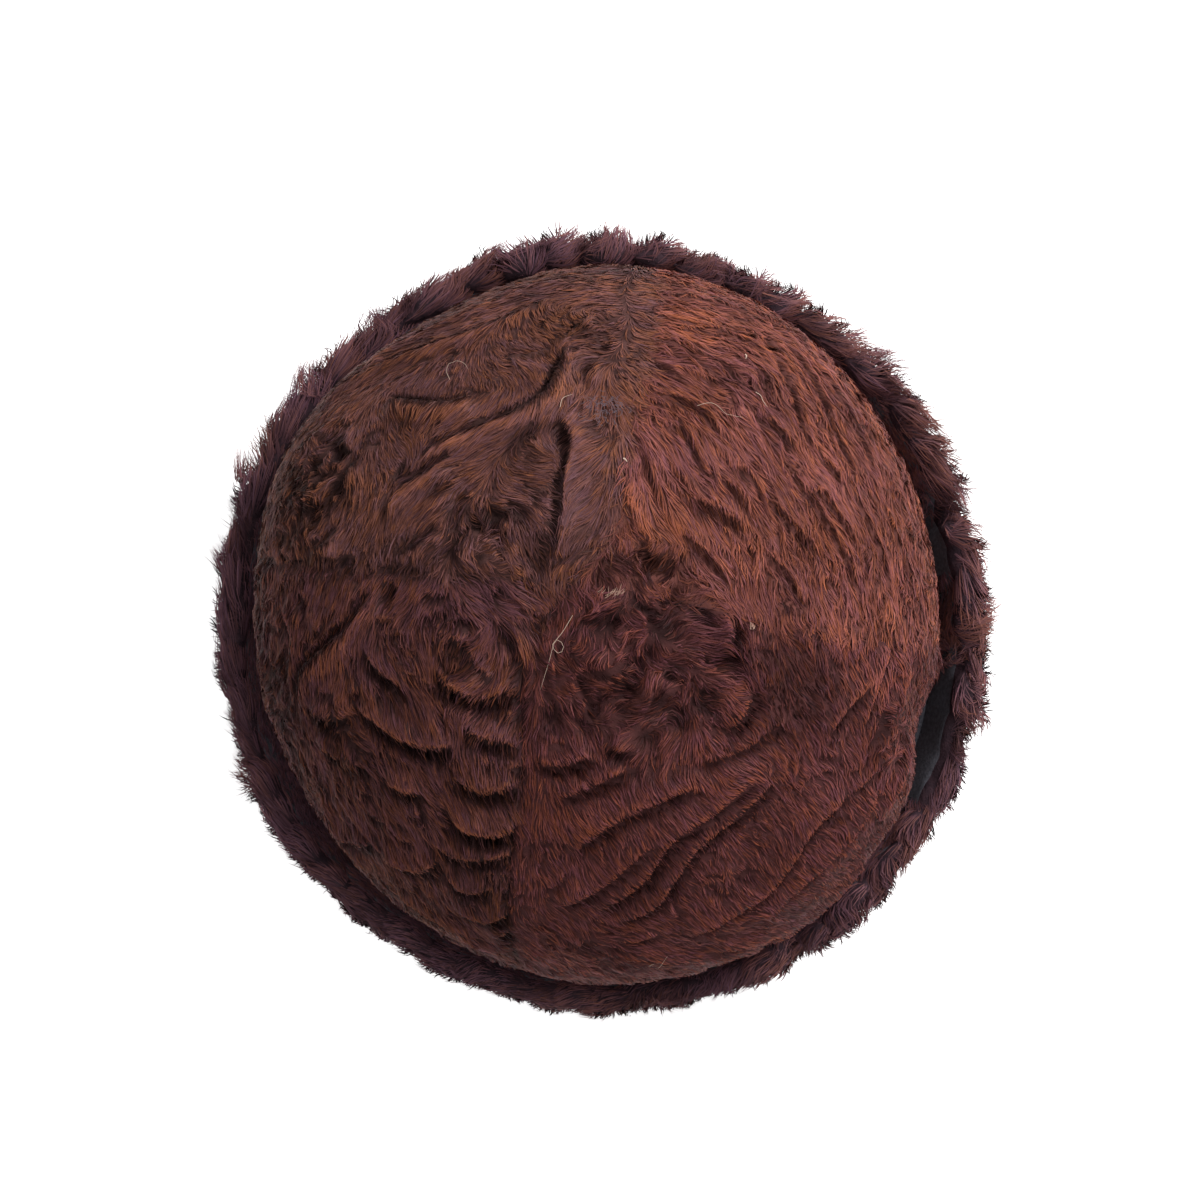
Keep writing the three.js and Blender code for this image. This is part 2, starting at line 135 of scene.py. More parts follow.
def ripple(places, size, seed, count=9):
    """Smooth random values, mostly between -1 and 1: a sum of plane waves in random directions,
    with lengths between 0.7 and 1.6 of a size in millimetres."""
    rng = np.random.default_rng(seed)
    ways = rng.normal(size=(count, places.shape[-1]))
    ways /= np.linalg.norm(ways, axis=1, keepdims=True)
    length = size * rng.uniform(0.7, 1.6, count)
    start = rng.uniform(0.0, 2 * np.pi, count)
    total = np.zeros(places.shape[:-1])
    for k in range(count):
        total += np.cos(2 * np.pi * (places @ ways[k]) / length[k] + start[k])
    return total / 3.0


def turned_by(angle, other):
    """How far an angle must turn to reach another, in degrees between -180 and 180."""
    return np.mod(other - angle + 180.0, 360.0) - 180.0


# How the photograph looks at the hat
# The camera stands almost straight above, a little to the front, and a pixel at the height of
# the brim's edge is about a third of a millimetre.
PHOTO_SIDE = 1200
PHOTO_MIDDLE = np.array([602.0, 618.0])
MM_PER_PIXEL = 0.315
CAMERA_ELEVATION = np.radians(84.0)
CAMERA_DISTANCE = 1300.0
AIM = np.array([0.0, 0.0, 60.0])
LOOK = np.array([0.0, np.cos(CAMERA_ELEVATION), -np.sin(CAMERA_ELEVATION)])
PICTURE_UP = np.array([0.0, np.sin(CAMERA_ELEVATION), np.cos(CAMERA_ELEVATION)])
Y_DOWN = np.array([1.0, -1.0])


def in_photo(points):
    """Pixels of points: their distances right and up of the aim, over their depth."""
    away = points + AXIS - (AIM - LOOK * CAMERA_DISTANCE)
    depth = away @ LOOK
    seen = np.stack([away[..., 0], away @ PICTURE_UP], -1) / depth[..., None]
    return PHOTO_MIDDLE + seen * (CAMERA_DISTANCE / MM_PER_PIXEL) * Y_DOWN


def heading(turn):
    """Unit vectors on the flat skin for directions in radians."""
    return np.stack([np.cos(turn), np.sin(turn)], -1)


def laid_flat(share, bearing):
    """The dome's oval turned round: from a share of the radius seen from above to the flat skin."""
    angle = np.arcsin(np.clip(share, 0.0, 1.0) ** (DOME_POWER / 2))
    out = angle / (np.pi / 2) * FULLEST_REACH * PROFILE_LENGTH
    return out[..., None] * heading(np.radians(bearing))


GUESSES = 12
PUT_RIGHT = 0.8


def from_photo(pixels):
    """Places on the flat skin of the photograph's pixels: a guess from straight above, put right
    again and again by most of how far off it shows in the photograph."""
    pixels = np.asarray(pixels, float)
    plan = (pixels - PHOTO_MIDDLE) * Y_DOWN * MM_PER_PIXEL
    for _ in range(GUESSES):
        bearing = np.degrees(np.arctan2(plan[..., 1], plan[..., 0]))
        share = np.linalg.norm(plan, axis=-1) / (CROWN_RADIUS * around(CROWN_SHARE, bearing))
        flat = laid_flat(share, bearing)
        off = pixels - in_photo(crown_point(flat))
        plan = plan + off * Y_DOWN * MM_PER_PIXEL * PUT_RIGHT
    return flat


# The seams of the crown
# Each runs in a slight bend from where the four meet to the foot. Seen from above, in shares of
# the crown's radius to the right of and behind the top, then the bearing at the foot.
MEETING = (-0.075, 0.045)
SEAMS = {
    "right": ([(0.16, 0.0), (0.39, -0.06)], -1.0),
    "back": ([(0.01, 0.13), (0.04, 0.36)], 87.0),
    "left": ([(-0.36, 0.06), (-0.64, 0.1)], 170.0),
    "front": ([(-0.18, -0.07), (-0.2, -0.4)], 262.0),
}


def flat_share(right, back):
    """A place on the flat skin from shares of the radius to the right and to the back."""
    return laid_flat(np.hypot(right, back), np.degrees(np.arctan2(back, right)))


meeting = flat_share(*MEETING)
SEAM_AVERAGE = 25
seam_steps = np.linspace(0.0, PROFILE_LENGTH * 1.2, 241)


def seam_course(rows, foot):
    """Direction of a seam from the meeting point at each distance in seam_steps, in degrees:
    straight between the rows, then averaged over a run of 25 steps."""
    ends = [flat_share(*row) for row in rows] + [PROFILE_LENGTH * heading(np.radians(foot))]
    away = np.array(ends) - meeting
    course = np.degrees(np.unwrap(np.arctan2(away[:, 1], away[:, 0])))
    course = np.interp(seam_steps, np.linalg.norm(away, axis=1), course)
    padded = np.pad(course, SEAM_AVERAGE // 2, mode="edge")
    return np.convolve(padded, np.ones(SEAM_AVERAGE) / SEAM_AVERAGE, "valid")


courses = {name: seam_course(*SEAMS[name]) for name in SEAMS}
for name in ("left", "front"):
    courses[name] = np.mod(courses[name], 360.0)

# Each quarter lies between two seams, from the first to the second, turning left
QUARTERS = {
    "back_right": ("right", "back"),
    "back_left": ("back", "left"),
    "front_left": ("left", "front"),
    "front_right": ("front", "right"),
}


def seam_angles(quarter, distance):
    """Directions of a quarter's two seams at distances from the meeting point, in degrees. The
    second is a full turn on where its own course starts lower than the first's."""
    first, second = (courses[seam] for seam in QUARTERS[quarter])
    full_turn = 360.0 * (second[0] < first[0])
    second = np.interp(distance, seam_steps, second) + full_turn
    return np.interp(distance, seam_steps, first), second


def seam_sides(quarter, flat):
    """How far places lie inside each of a quarter's two seams, in mm, less than 0 outside."""
    away = flat - meeting
    distance = np.linalg.norm(away, axis=-1)
    first, second = seam_angles(quarter, distance)
    middle = (first + second) / 2
    angle = middle + turned_by(middle, np.degrees(np.arctan2(away[..., 1], away[..., 0])))
    inside = np.stack([angle - first, second - angle])
    return np.sign(inside) * distance * np.sin(np.radians(np.minimum(np.abs(inside), 90.0)))


def seam_distance(quarter, flat):
    """How far places lie inside a quarter's nearer seam, in mm, less than 0 outside."""
    return seam_sides(quarter, flat).min(axis=0)


# The folds of the fur
# Short lambskin lies in rolls: the hair of one roll ends in a fringe over a dark groove, and the
# next roll begins beyond it. Both tables are read off the photograph, in its pixels.
# Where the hair points, in degrees from the right, turning left: x, y, direction
FLOW = {
    "back_right": [
        (640, 300, -15), (700, 320, -18), (760, 330, -25), (820, 370, -50), (860, 430, -60),
        (890, 500, -72), (905, 570, -82), (650, 350, -15), (660, 400, -40), (640, 430, -55),
        (620, 470, -75), (610, 520, -95), (640, 510, -60), (690, 440, -70), (720, 400, -40),
        (740, 450, -55), (780, 480, -55), (800, 420, -60), (840, 520, -62), (780, 560, -75),
        (720, 570, -80), (690, 540, -60), (650, 560, -100), (860, 590, -80), (700, 350, -25),
    ],
    "back_left": [
        (330, 400, 215), (400, 350, 205), (470, 320, 200), (540, 290, 190), (560, 325, -45),
        (532, 365, -42), (505, 375, -50), (500, 402, 240), (460, 420, 225), (400, 455, -50),
        (370, 450, -60), (420, 480, 215), (460, 470, 215), (350, 480, 245), (330, 520, 240),
        (300, 480, 250), (290, 540, 265), (400, 540, 255), (440, 530, 210), (530, 465, -15),
        (540, 490, -25), (540, 525, -45), (590, 450, 205), (592, 480, 215), (585, 520, 225),
        (580, 548, 240), (515, 545, -50), (495, 432, 200), (470, 555, -20), (590, 340, 195),
        (600, 300, 185),
    ],
    "front_left": [
        (270, 600, 255), (300, 640, 260), (350, 620, 245), (380, 600, 240), (330, 690, 255),
        (420, 600, 225), (450, 610, -90), (480, 597, -35), (510, 600, -30), (530, 630, -60),
        (500, 672, 215), (470, 682, 200), (430, 670, -60), (400, 660, -70), (400, 700, -60),
        (440, 720, -75), (480, 720, -110), (520, 720, -110), (360, 740, -60), (420, 765, -60),
        (480, 770, -75), (520, 780, -100), (330, 780, -70), (380, 820, -75), (440, 812, -55),
        (490, 815, -60), (470, 850, -85), (520, 850, -105), (400, 850, -60), (450, 892, -75),
        (510, 892, -95), (350, 860, -65), (430, 925, -50), (500, 935, -35), (540, 945, -40),
    ],
    "front_right": [
        (548, 640, 240), (540, 740, -95), (562, 752, -75), (600, 765, -60), (600, 810, -60),
        (580, 850, -65), (640, 850, -55), (700, 835, -55), (620, 900, -50), (700, 880, -60),
        (760, 850, -55), (800, 830, -55), (850, 800, -50), (735, 800, -30), (840, 740, -60),
        (870, 760, -90), (880, 680, -95), (900, 640, -85), (860, 640, -80), (800, 625, -75),
        (790, 680, -65), (760, 725, -60), (650, 940, -30), (750, 930, -25), (820, 880, -40),
        (675, 618, 65), (692, 610, 38), (702, 628, 12), (700, 650, -15), (716, 640, -5),
        (680, 640, 20), (722, 700, -10), (737, 712, -25), (716, 724, -50), (600, 690, 55),
        (617, 676, 45), (583, 702, 35), (560, 688, -50), (640, 690, 50), (652, 712, 65),
        (562, 722, -62), (543, 738, -98), (580, 738, -50), (620, 744, 200), (602, 650, -60),
        (640, 662, -30), (580, 640, -115), (560, 660, -130), (612, 618, -80), (640, 606, -60),
        (682, 700, -100), (680, 735, -110), (742, 640, -95), (764, 655, -80),
    ],
}

# Fringes, each with its groove on the right of the way along it: width and rise in mm, its course
FRINGES = {
    "back_right": [
        (3.4, 0.9, [(640, 296), (690, 300), (745, 312)]),
        (3.4, 1.0, [(623, 312), (684, 322), (735, 340)]),
        (3.4, 1.0, [(675, 330), (715, 331), (757, 345)]),
        (4.4, 1.1, [(612, 356), (646, 358), (682, 380)]),
        (4.4, 1.1, [(650, 392), (690, 402), (722, 428)]),
        (4.4, 1.3, [(705, 356), (728, 367), (746, 390)]),
        (4.4, 1.1, [(755, 366), (770, 378), (764, 392)]),
        (3.4, 1.1, [(775, 358), (791, 388), (803, 428), (812, 446)]),
        (3.4, 1.3, [(791, 350), (815, 384), (833, 428), (853, 470)]),
        (3.4, 1.1, [(820, 370), (852, 420), (872, 470)]),
        (4.4, 1.4, [(815, 446), (827, 464), (843, 478)]),
        (4.4, 1.3, [(804, 489), (822, 492), (836, 512), (856, 540)]),
        (4.4, 1.4, [(751, 413), (773, 424), (795, 447)]),
        (4.4, 1.2, [(679, 417), (689, 436), (700, 458), (702, 478)]),
        (4.4, 1.4, [(716, 476), (734, 486), (752, 508)]),
        (4.4, 1.4, [(684, 495), (715, 507), (748, 526)]),
        (4.4, 1.3, [(764, 493), (784, 514), (817, 549)]),
        (4.4, 1.1, [(790, 470), (812, 498), (838, 540), (858, 585)]),
        (4.4, 1.3, [(679, 527), (706, 551), (730, 580)]),
        (4.4, 1.1, [(760, 545), (786, 570), (806, 602)]),
        (3.4, 1.0, [(853, 493), (880, 549), (890, 592)]),
        (3.4, 1.0, [(880, 500), (900, 549), (912, 590)]),
        (4.4, 1.3, [(646, 530), (652, 552), (668, 566)]),
        (4.4, 1.0, [(616, 404), (634, 430), (650, 462), (660, 492)]),
        (3.4, 1.0, [(612, 470), (626, 500), (640, 524)]),
        (3.4, 1.0, [(622, 338), (660, 340), (700, 352)]),
    ],
    "back_left": [
        (8, 2.6, [(487, 396), (440, 406), (383, 402)]),
        (7, 2.0, [(560, 300), (505, 322), (454, 341), (400, 361), (330, 400)]),
        (6, 1.6, [(541, 291), (480, 312), (420, 338), (370, 368)]),
        (6, 1.6, [(575, 283), (530, 290), (500, 298)]),
        (9, 2.6, [(574, 342), (552, 385), (541, 399), (500, 422), (461, 436), (415, 458)]),
        (7, 2.4, [(550, 426), (532, 437), (512, 444)]),
        (8, 1.7, [(558, 409), (573, 435), (570, 461), (563, 487), (562, 530), (556, 556)]),
        (7, 2.0, [(530, 528), (514, 518), (500, 506)]),
        (7, 1.8, [(463, 489), (445, 494), (422, 496)]),
        (8, 2.4, [(366, 452), (351, 478), (343, 502)]),
        (7, 2.0, [(316, 474), (311, 500), (302, 524)]),
        (8, 2.2, [(345, 526), (326, 546), (304, 556)]),
        (7, 2.0, [(460, 456), (420, 478), (385, 510)]),
        (7, 1.8, [(448, 528), (420, 545), (392, 556)]),
        (7, 1.8, [(340, 420), (315, 440), (296, 470)]),
        (7, 1.6, [(596, 316), (578, 330), (566, 345)]),
        (7, 1.6, [(612, 362), (596, 368), (588, 384)]),
    ],
    "front_left": [
        (9, 2.6, [(380, 590), (345, 634), (308, 668), (302, 704)]),
        (8, 2.8, [(439, 650), (458, 662), (474, 661)]),
        (8, 2.6, [(436, 660), (450, 684), (485, 697), (526, 686)]),
        (8, 3.0, [(353, 699), (396, 733), (423, 745), (460, 745)]),
        (7, 2.4, [(456, 722), (487, 737), (522, 742)]),
        (7, 2.4, [(308, 700), (324, 715), (352, 718)]),
        (7, 2.2, [(316, 736), (345, 758), (372, 764)]),
        (8, 2.8, [(380, 768), (401, 787), (430, 793)]),
        (7, 2.4, [(452, 772), (480, 790), (522, 783)]),
        (8, 2.8, [(444, 800), (466, 828), (498, 833), (527, 820)]),
        (7, 2.4, [(434, 840), (458, 855), (498, 855), (530, 846)]),
        (8, 2.8, [(378, 846), (404, 863), (428, 866), (440, 854)]),
        (7, 2.4, [(444, 864), (463, 887), (495, 887)]),
        (7, 2.2, [(330, 822), (353, 838), (376, 842)]),
        (7, 2.2, [(450, 903), (485, 917), (516, 911)]),
        (6, 1.8, [(490, 934), (515, 930), (543, 926)]),
        (7, 2.0, [(396, 888), (444, 918), (490, 948)]),
        (7, 2.0, [(322, 790), (340, 830), (372, 870)]),
        (7, 2.0, [(362, 640), (380, 668), (410, 690)]),
        (7, 1.8, [(284, 600), (296, 640), (290, 680)]),
        (7, 2.2, [(500, 615), (515, 640), (522, 664)]),
    ],
    "front_right": [
        (12, 1.9, [(562, 858), (608, 824), (670, 795), (715, 780)]),
        (12, 2.0, [(590, 914), (641, 880), (670, 841), (713, 812), (763, 766)]),
        (9, 2.2, [(612, 921), (652, 905), (672, 880), (696, 846), (736, 814), (780, 772)]),
        (13, 2.4, [(676, 938), (761, 892), (791, 855), (811, 826), (854, 782)]),
        (9, 2.0, [(760, 922), (790, 890), (843, 840), (870, 800), (875, 782)]),
        (8, 1.7, [(706, 948), (777, 930), (815, 908), (852, 880)]),
        (9, 1.8, [(820, 744), (841, 712), (870, 682)]),
        (8, 1.8, [(888, 700), (880, 735), (862, 760)]),
        (7, 1.8, [(545, 765), (572, 760), (600, 752)]),
        (7, 1.8, [(548, 800), (590, 785), (640, 760)]),
        (8, 1.5, [(840, 800), (880, 760), (905, 715)]),
        (9, 3.0, [(700, 668), (721, 652), (729, 630), (722, 608), (702, 598)]),
        (8, 3.0, [(716, 735), (736, 720), (747, 698), (742, 682)]),
        (7, 2.4, [(604, 704), (612, 688), (624, 676), (642, 668)]),
        (7, 2.2, [(640, 720), (652, 700), (670, 684)]),
        (6, 2.2, [(602, 740), (620, 750), (642, 744)]),
        (7, 2.2, [(528, 758), (558, 764), (594, 754)]),
        (6, 2.0, [(584, 664), (604, 668), (622, 656)]),
        (7, 1.8, [(856, 736), (872, 690), (889, 640)]),
        (7, 1.7, [(884, 750), (897, 705), (910, 662)]),
        (8, 1.9, [(878, 815), (902, 768), (916, 722)]),
        (8, 1.9, [(757, 942), (800, 918), (838, 885), (868, 850)]),
        (8, 1.7, [(600, 948), (655, 956), (715, 955), (762, 944)]),
        (7, 1.6, [(556, 906), (596, 888), (636, 856), (660, 836)]),
        (7, 1.4, [(690, 762), (740, 748), (790, 714)]),
    ],
}

# Small hollows whose hair and base are painted dark as shade: pixel, radius in mm
SHADED_HOLLOWS = {
    "back_right": [(768, 346, 2.2), (664, 564, 2.6)],
    "back_left": [
        (486, 521, 3.5), (536, 548, 3.5), (342, 452, 3.0), (300, 478, 3.5), (318, 512, 3.0),
        (403, 470, 2.5), (489, 523, 3.0), (312, 556, 3.0),
    ],
    "front_left": [(456, 655, 3.2), (390, 590, 2.4)],
    "front_right": [
        (600, 626, 2.6), (696, 611, 2.4), (663, 628, 3.4), (707, 699, 3.0), (620, 690, 2.2),
        (677, 716, 2.8), (548, 712, 2.0),
    ],
}

# Tousled patches, where every lock points its own way, with painted shade between the locks and a
# painted highlight on their tops: pixel, radius in mm, strength
TOUSLED = {
    "back_right": [(640, 575, 11, 0.6), (745, 385, 10, 0.4)],
    "back_left": [
        (325, 462, 14, 0.6), (470, 520, 9, 0.6), (430, 575, 9, 0.4), (305, 505, 18, 0.7),
        (590, 335, 11, 0.6), (505, 535, 12, 0.5),
    ],
    "front_left": [(275, 690, 17, 0.7), (480, 655, 14, 0.45), (350, 735, 12, 0.5)],
    "front_right": [
        (664, 664, 25, 0.4), (630, 622, 10, 0.7), (560, 690, 12, 0.4), (895, 735, 12, 0.8),
        (600, 950, 10, 0.5),
    ],
}
TUFT_SIZE = 5.5

# Small waves between the folds: spacing and rise in mm, swing of the hair in degrees, then the
# place on the flat skin, in mm right of and behind the top, that their steep sides face
WAVES = {
    "back_right": (5.8, 1.2, 26.0, (0.0, 0.0)),
    "back_left": (7.0, 0.8, 20.0, (-253.0, 544.0)),
    "front_left": (5.6, 1.3, 14.0, (20.0, -600.0)),
    "front_right": (8.5, 1.0, 16.0, (385.0, -460.0)),
}

# Darker or lighter patches: pixel, radius in mm, change of shade and of warmth. Most are the fur's
# own tone; some are painted light: the lighter patch at the right of the front right quarter is
# light falling from the right, and the darker one in the valley at the left of the front left
# quarter is painted shade.
TONE_AND_LIGHT_PATCHES = {
    "back_right": [
        (770, 612, 12, -0.14, 0.0), (660, 575, 12, -0.14, -0.1), (700, 322, 22, 0.06, 0.1),
        (608, 412, 7, -0.16, -0.4), (740, 400, 16, -0.04, -0.2), (655, 285, 9, -0.07, -0.1),
        (645, 345, 9, -0.07, -0.1),
    ],
    "back_left": [
        (310, 505, 14, -0.14, 0.2), (430, 400, 12, -0.10, 0.1), (550, 330, 12, 0.04, 0.5),
        (545, 480, 14, 0.05, -0.2), (380, 545, 14, -0.10, 0.0), (640, 285, 14, 0.10, 0.15),
        (630, 345, 14, 0.10, 0.15), (620, 410, 13, 0.08, 0.12),
    ],
    "front_left": [
        (290, 690, 16, -0.16, -0.1), (480, 600, 12, 0.08, -0.2), (350, 740, 12, -0.08, 0.1),
        (410, 900, 18, -0.04, 0.3),
    ],
    "front_right": [
        (793, 680, 18, -0.24, 0.0), (868, 765, 16, 0.10, -0.1), (655, 665, 26, -0.05, -0.15),
        (706, 636, 8, 0.16, -0.2), (735, 705, 7, 0.16, 0.1), (884, 652, 20, 0.14, 0.1),
        (570, 800, 14, -0.04, 0.1),
    ],
}

# Dents where the crown's side is pressed in: bearing and half width in degrees, distance from the
# top where it starts and depth in mm. The depth is reached over the ease.
DENTS = [(341.0, 12.0, 90.0, 4.6)]
DENT_EASE = 22.0

# How dark and deep each seam shows
SEAM_SHOWS = {"right": 0.15, "back": 0.0, "left": 0.75, "front": 0.6}

# A fringe's groove is a share of its width, up to a most in mm. Then how dark the grooves'
# painted shade shows in each quarter, and how much higher its rolls stand than their rows say.
GROOVE_SHARE = 0.42
GROOVE_MOST = 2.4
GROOVE_SHOWS = {"back_right": 1.0, "back_left": 0.88, "front_left": 0.8, "front_right": 0.62}
ROLL_RISES = {"back_right": 1.0, "back_left": 1.1, "front_left": 1.1, "front_right": 1.35}

# A fold of this rise in mm has a groove whose painted shade is full, and leaves least room for
# waves
FULL_FOLD = 1.6

# A small wave, in shares of its length: where it is highest, then the middle and half width of its
# trough, painted dark as shade, and of its crest, painted light as a highlight
WAVE_TOP = 0.75
TROUGH_AT, TROUGH_HALF = 0.95, 0.13
CREST_AT, CREST_HALF = 0.68, 0.17

# In mm: depth of a hollow, rise of a tousled lock, depth of a seam that shows in full, and how
# far from a seam the skin dips and the hair is dark. A tousled lock turns by so many degrees.
HOLLOW_DEPTH = 1.2
LOCK_RISE = 2.0
LOCK_TURN = 75.0
SEAM_DEPTH = 1.2
SEAM_DIP = 4.0
SEAM_DARK = 2.2

# Rows of the flow nearer than the square root of this count alike. Beyond a faint seam the other
# quarter's rows count for a share, less and less up to a reach in mm.
FLOW_CORE = 36.0
NEIGHBOUR_SHARE = 0.9
NEIGHBOUR_REACH = 16.0

# Folds and hair fade out below this height of the crown, over the ease above it, both in mm
PLAIN_BELOW = 34.0
PLAIN_EASE = 14.0

# The five values of the coat, in their order
HEIGHT, EAST, NORTH, GROOVE, FRINGE = range(5)


def through(a, b, c, d, t):
    """A curve from b to c, with neighbours a and d, at shares t of the way:
    b + t(c - a)/2 + t^2(a - 5b/2 + 2c - d/2) + t^3(3(b - c) + d - a)/2."""
    curve = b + t * (c - a) / 2 + t ** 2 * (a - 2.5 * b + 2 * c - d / 2)
    return curve + t ** 3 * (3 * (b - c) + d - a) / 2


def smooth_line(points, steps=4):
    """A curve through points, with so many steps from each to the next."""
    ends = [2 * points[0] - points[1]], [2 * points[-1] - points[-2]]
    p = np.concatenate([ends[0], points, ends[1]])
    t = (np.arange(steps) / steps)[:, None]
    curve = through(*(p[k:len(p) - 3 + k, None] for k in range(4)), t)
    return np.concatenate([curve.reshape(-1, points.shape[1]), points[-1:]])


def beside(places, line):
    """Distance of places to the left of a line of points, less than 0 on its right, then how far
    along the line its nearest point lies, and the line's length."""
    run = np.diff(line, axis=0)
    length = np.linalg.norm(run, axis=1)
    run = run / length[:, None]
    out = places[:, None] - line[:-1]
    held = np.clip(np.einsum("psk,sk->ps", out, run), 0.0, length)
    distance = np.linalg.norm(out - held[..., None] * run, axis=-1)
    nearest = distance.argmin(axis=1)
    pick = np.arange(len(places)), nearest
    side = (run[:, 0] * out[..., 1] - run[:, 1] * out[..., 0])[pick]
    travelled = np.concatenate([[0.0], np.cumsum(length)])[nearest] + held[pick]
    return np.where(side >= 0, 1.0, -1.0) * distance[pick], travelled, length.sum()


def fringe_shape(places, width, line):
    """A fringe's roll, groove and edge, each 0 to 1. The roll rises by a smooth step over its
    width to the fringe and drops beyond it within 0.42 of that, or 2.4 mm if that is less; the
    groove fills the drop."""
    off, travelled, length = beside(places, line)
    ends = smooth(travelled / (0.8 * width)) * smooth((length - travelled) / (0.8 * width))
    past = -off / min(GROOVE_SHARE * width, GROOVE_MOST)
    roll = np.where(off >= 0.0, smooth(1.0 - off / width), smooth(1.0 - past))
    groove = smooth(past / 0.35) * smooth((1.6 - past) / 0.9) * (off < 0.0)
    edge = smooth(1.0 - np.abs(off - 0.12 * width) / (0.3 * width))
    return roll * ends, groove * ends, edge * ends


def locks(places, size, seed):
    """The nearest lock's middle for each place: one random point in each cell of a grid, and the
    nearest of those in a place's own cell and the cells round it."""
    rng = np.random.default_rng(seed)
    sides = places.shape[-1]
    shift = rng.uniform(0.0, 1.0, (32,) * sides + (sides,))
    cell = np.floor(places / size).astype(int)
    best = np.full(places.shape[:-1], np.inf)
    middle = np.zeros_like(places)
    for step in np.ndindex(*(3,) * sides):
        here = cell + np.array(step) - 1
        point = (here + shift[tuple(np.moveaxis(here % 32, -1, 0))]) * size
        distance = np.linalg.norm(places - point, axis=-1)
        nearer = distance < best
        best = np.where(nearer, distance, best)
        middle = np.where(nearer[..., None], point, middle)
    return middle


def spots(table, quarter, flat, edge):
    """For each of a quarter's rows in a table: how near places are to its pixel, by a smooth step
    that ends in 0 where the distance is the edge times the row's radius and is 1 from a radius
    nearer on, then the rest of the row."""
    for x, y, radius, *values in table.get(quarter, []):
        apart = np.linalg.norm(flat - from_photo((x, y)), axis=-1)
        yield smooth(edge - apart / radius), *values


def flow(quarter, flat, inside_of):
    """Directions of the hair in degrees: means of the table's, weighted by 1/(d^2 + 36)^2. At a
    faint seam the other quarter's count too, so that the hair runs on across it."""
    way = np.zeros_like(flat)
    for owner, table in FLOW.items():
        shared = [seam for seam in QUARTERS[owner] if seam in inside_of]
        if owner == quarter:
            share = np.ones(len(flat))
        elif shared:
            share = NEIGHBOUR_SHARE * (1.0 - SEAM_SHOWS[shared[0]])
            share = share * smooth(1.0 - inside_of[shared[0]] / NEIGHBOUR_REACH)
        else:
            continue
        rows = np.array(table, float)
        apart = np.linalg.norm(flat[:, None] - from_photo(rows[:, :2]), axis=-1)
        weight = 1.0 / (apart ** 2 + FLOW_CORE) ** 2
        way = way + share[:, None] * (weight @ heading(np.radians(rows[:, 2])))
    return np.degrees(np.arctan2(way[:, 1], way[:, 0]))


def folds(quarter, flat):
    """Rise of a quarter's rolls, of its grooves and of both in mm, then how near a fringe places
    are. Where folds meet, their rises add as the fourth root of a sum of fourth powers."""
    rolls, grooves, edge = (np.zeros(len(flat)) for _ in range(3))
    for width, rise, course in FRINGES[quarter]:
        line = smooth_line(from_photo(course))
        box = line.min(0) - 2 * width, line.max(0) + 2 * width
        near = np.all((flat > box[0]) & (flat < box[1]), axis=1)
        roll, groove, fringe = fringe_shape(flat[near], width, line)
        rolls[near] += (rise * roll) ** 4
        grooves[near] += (rise * groove) ** 4
        edge[near] = np.maximum(edge[near], fringe * (rise / 2.0))
    return rolls ** 0.25, grooves ** 0.25, (rolls + grooves) ** 0.25, edge


def waves(quarter, flat, folded):
    """Small waves: their height in mm, how deep in a trough and how near a crest places are, and
    the swing of the hair in degrees. Each wave climbs over three quarters of its length and
    drops over the rest. They are weaker where there are folds."""
    spacing, rise, swing, faced = WAVES[quarter]
    phase = 1.1 * ripple(flat, 30.0, 21) + 0.4 * ripple(flat, 11.0, 22)
    phase = phase - np.linalg.norm(flat - np.array(faced), axis=1) / spacing
    part = np.mod(phase, 1.0)
    plain = 1.0 - 0.6 * np.clip(folded / FULL_FOLD, 0.0, 1.0)
    strength = np.clip(0.75 + 0.6 * ripple(flat, 13.0, 23), 0.0, 1.0) * plain
    climb, drop = smooth(part / WAVE_TOP), smooth((1.0 - part) / (1.0 - WAVE_TOP))
    wave = np.where(part < WAVE_TOP, climb, drop)
    trough = smooth(1.0 - np.abs(np.mod(part + 1.5 - TROUGH_AT, 1.0) - 0.5) / TROUGH_HALF)
    crest = smooth(1.0 - np.abs(part - CREST_AT) / CREST_HALF)
    height = rise * (wave - 0.5 * trough) * strength
    turned = swing * strength * np.sin(2 * np.pi * phase)
    return height, trough * strength, crest * strength, turned


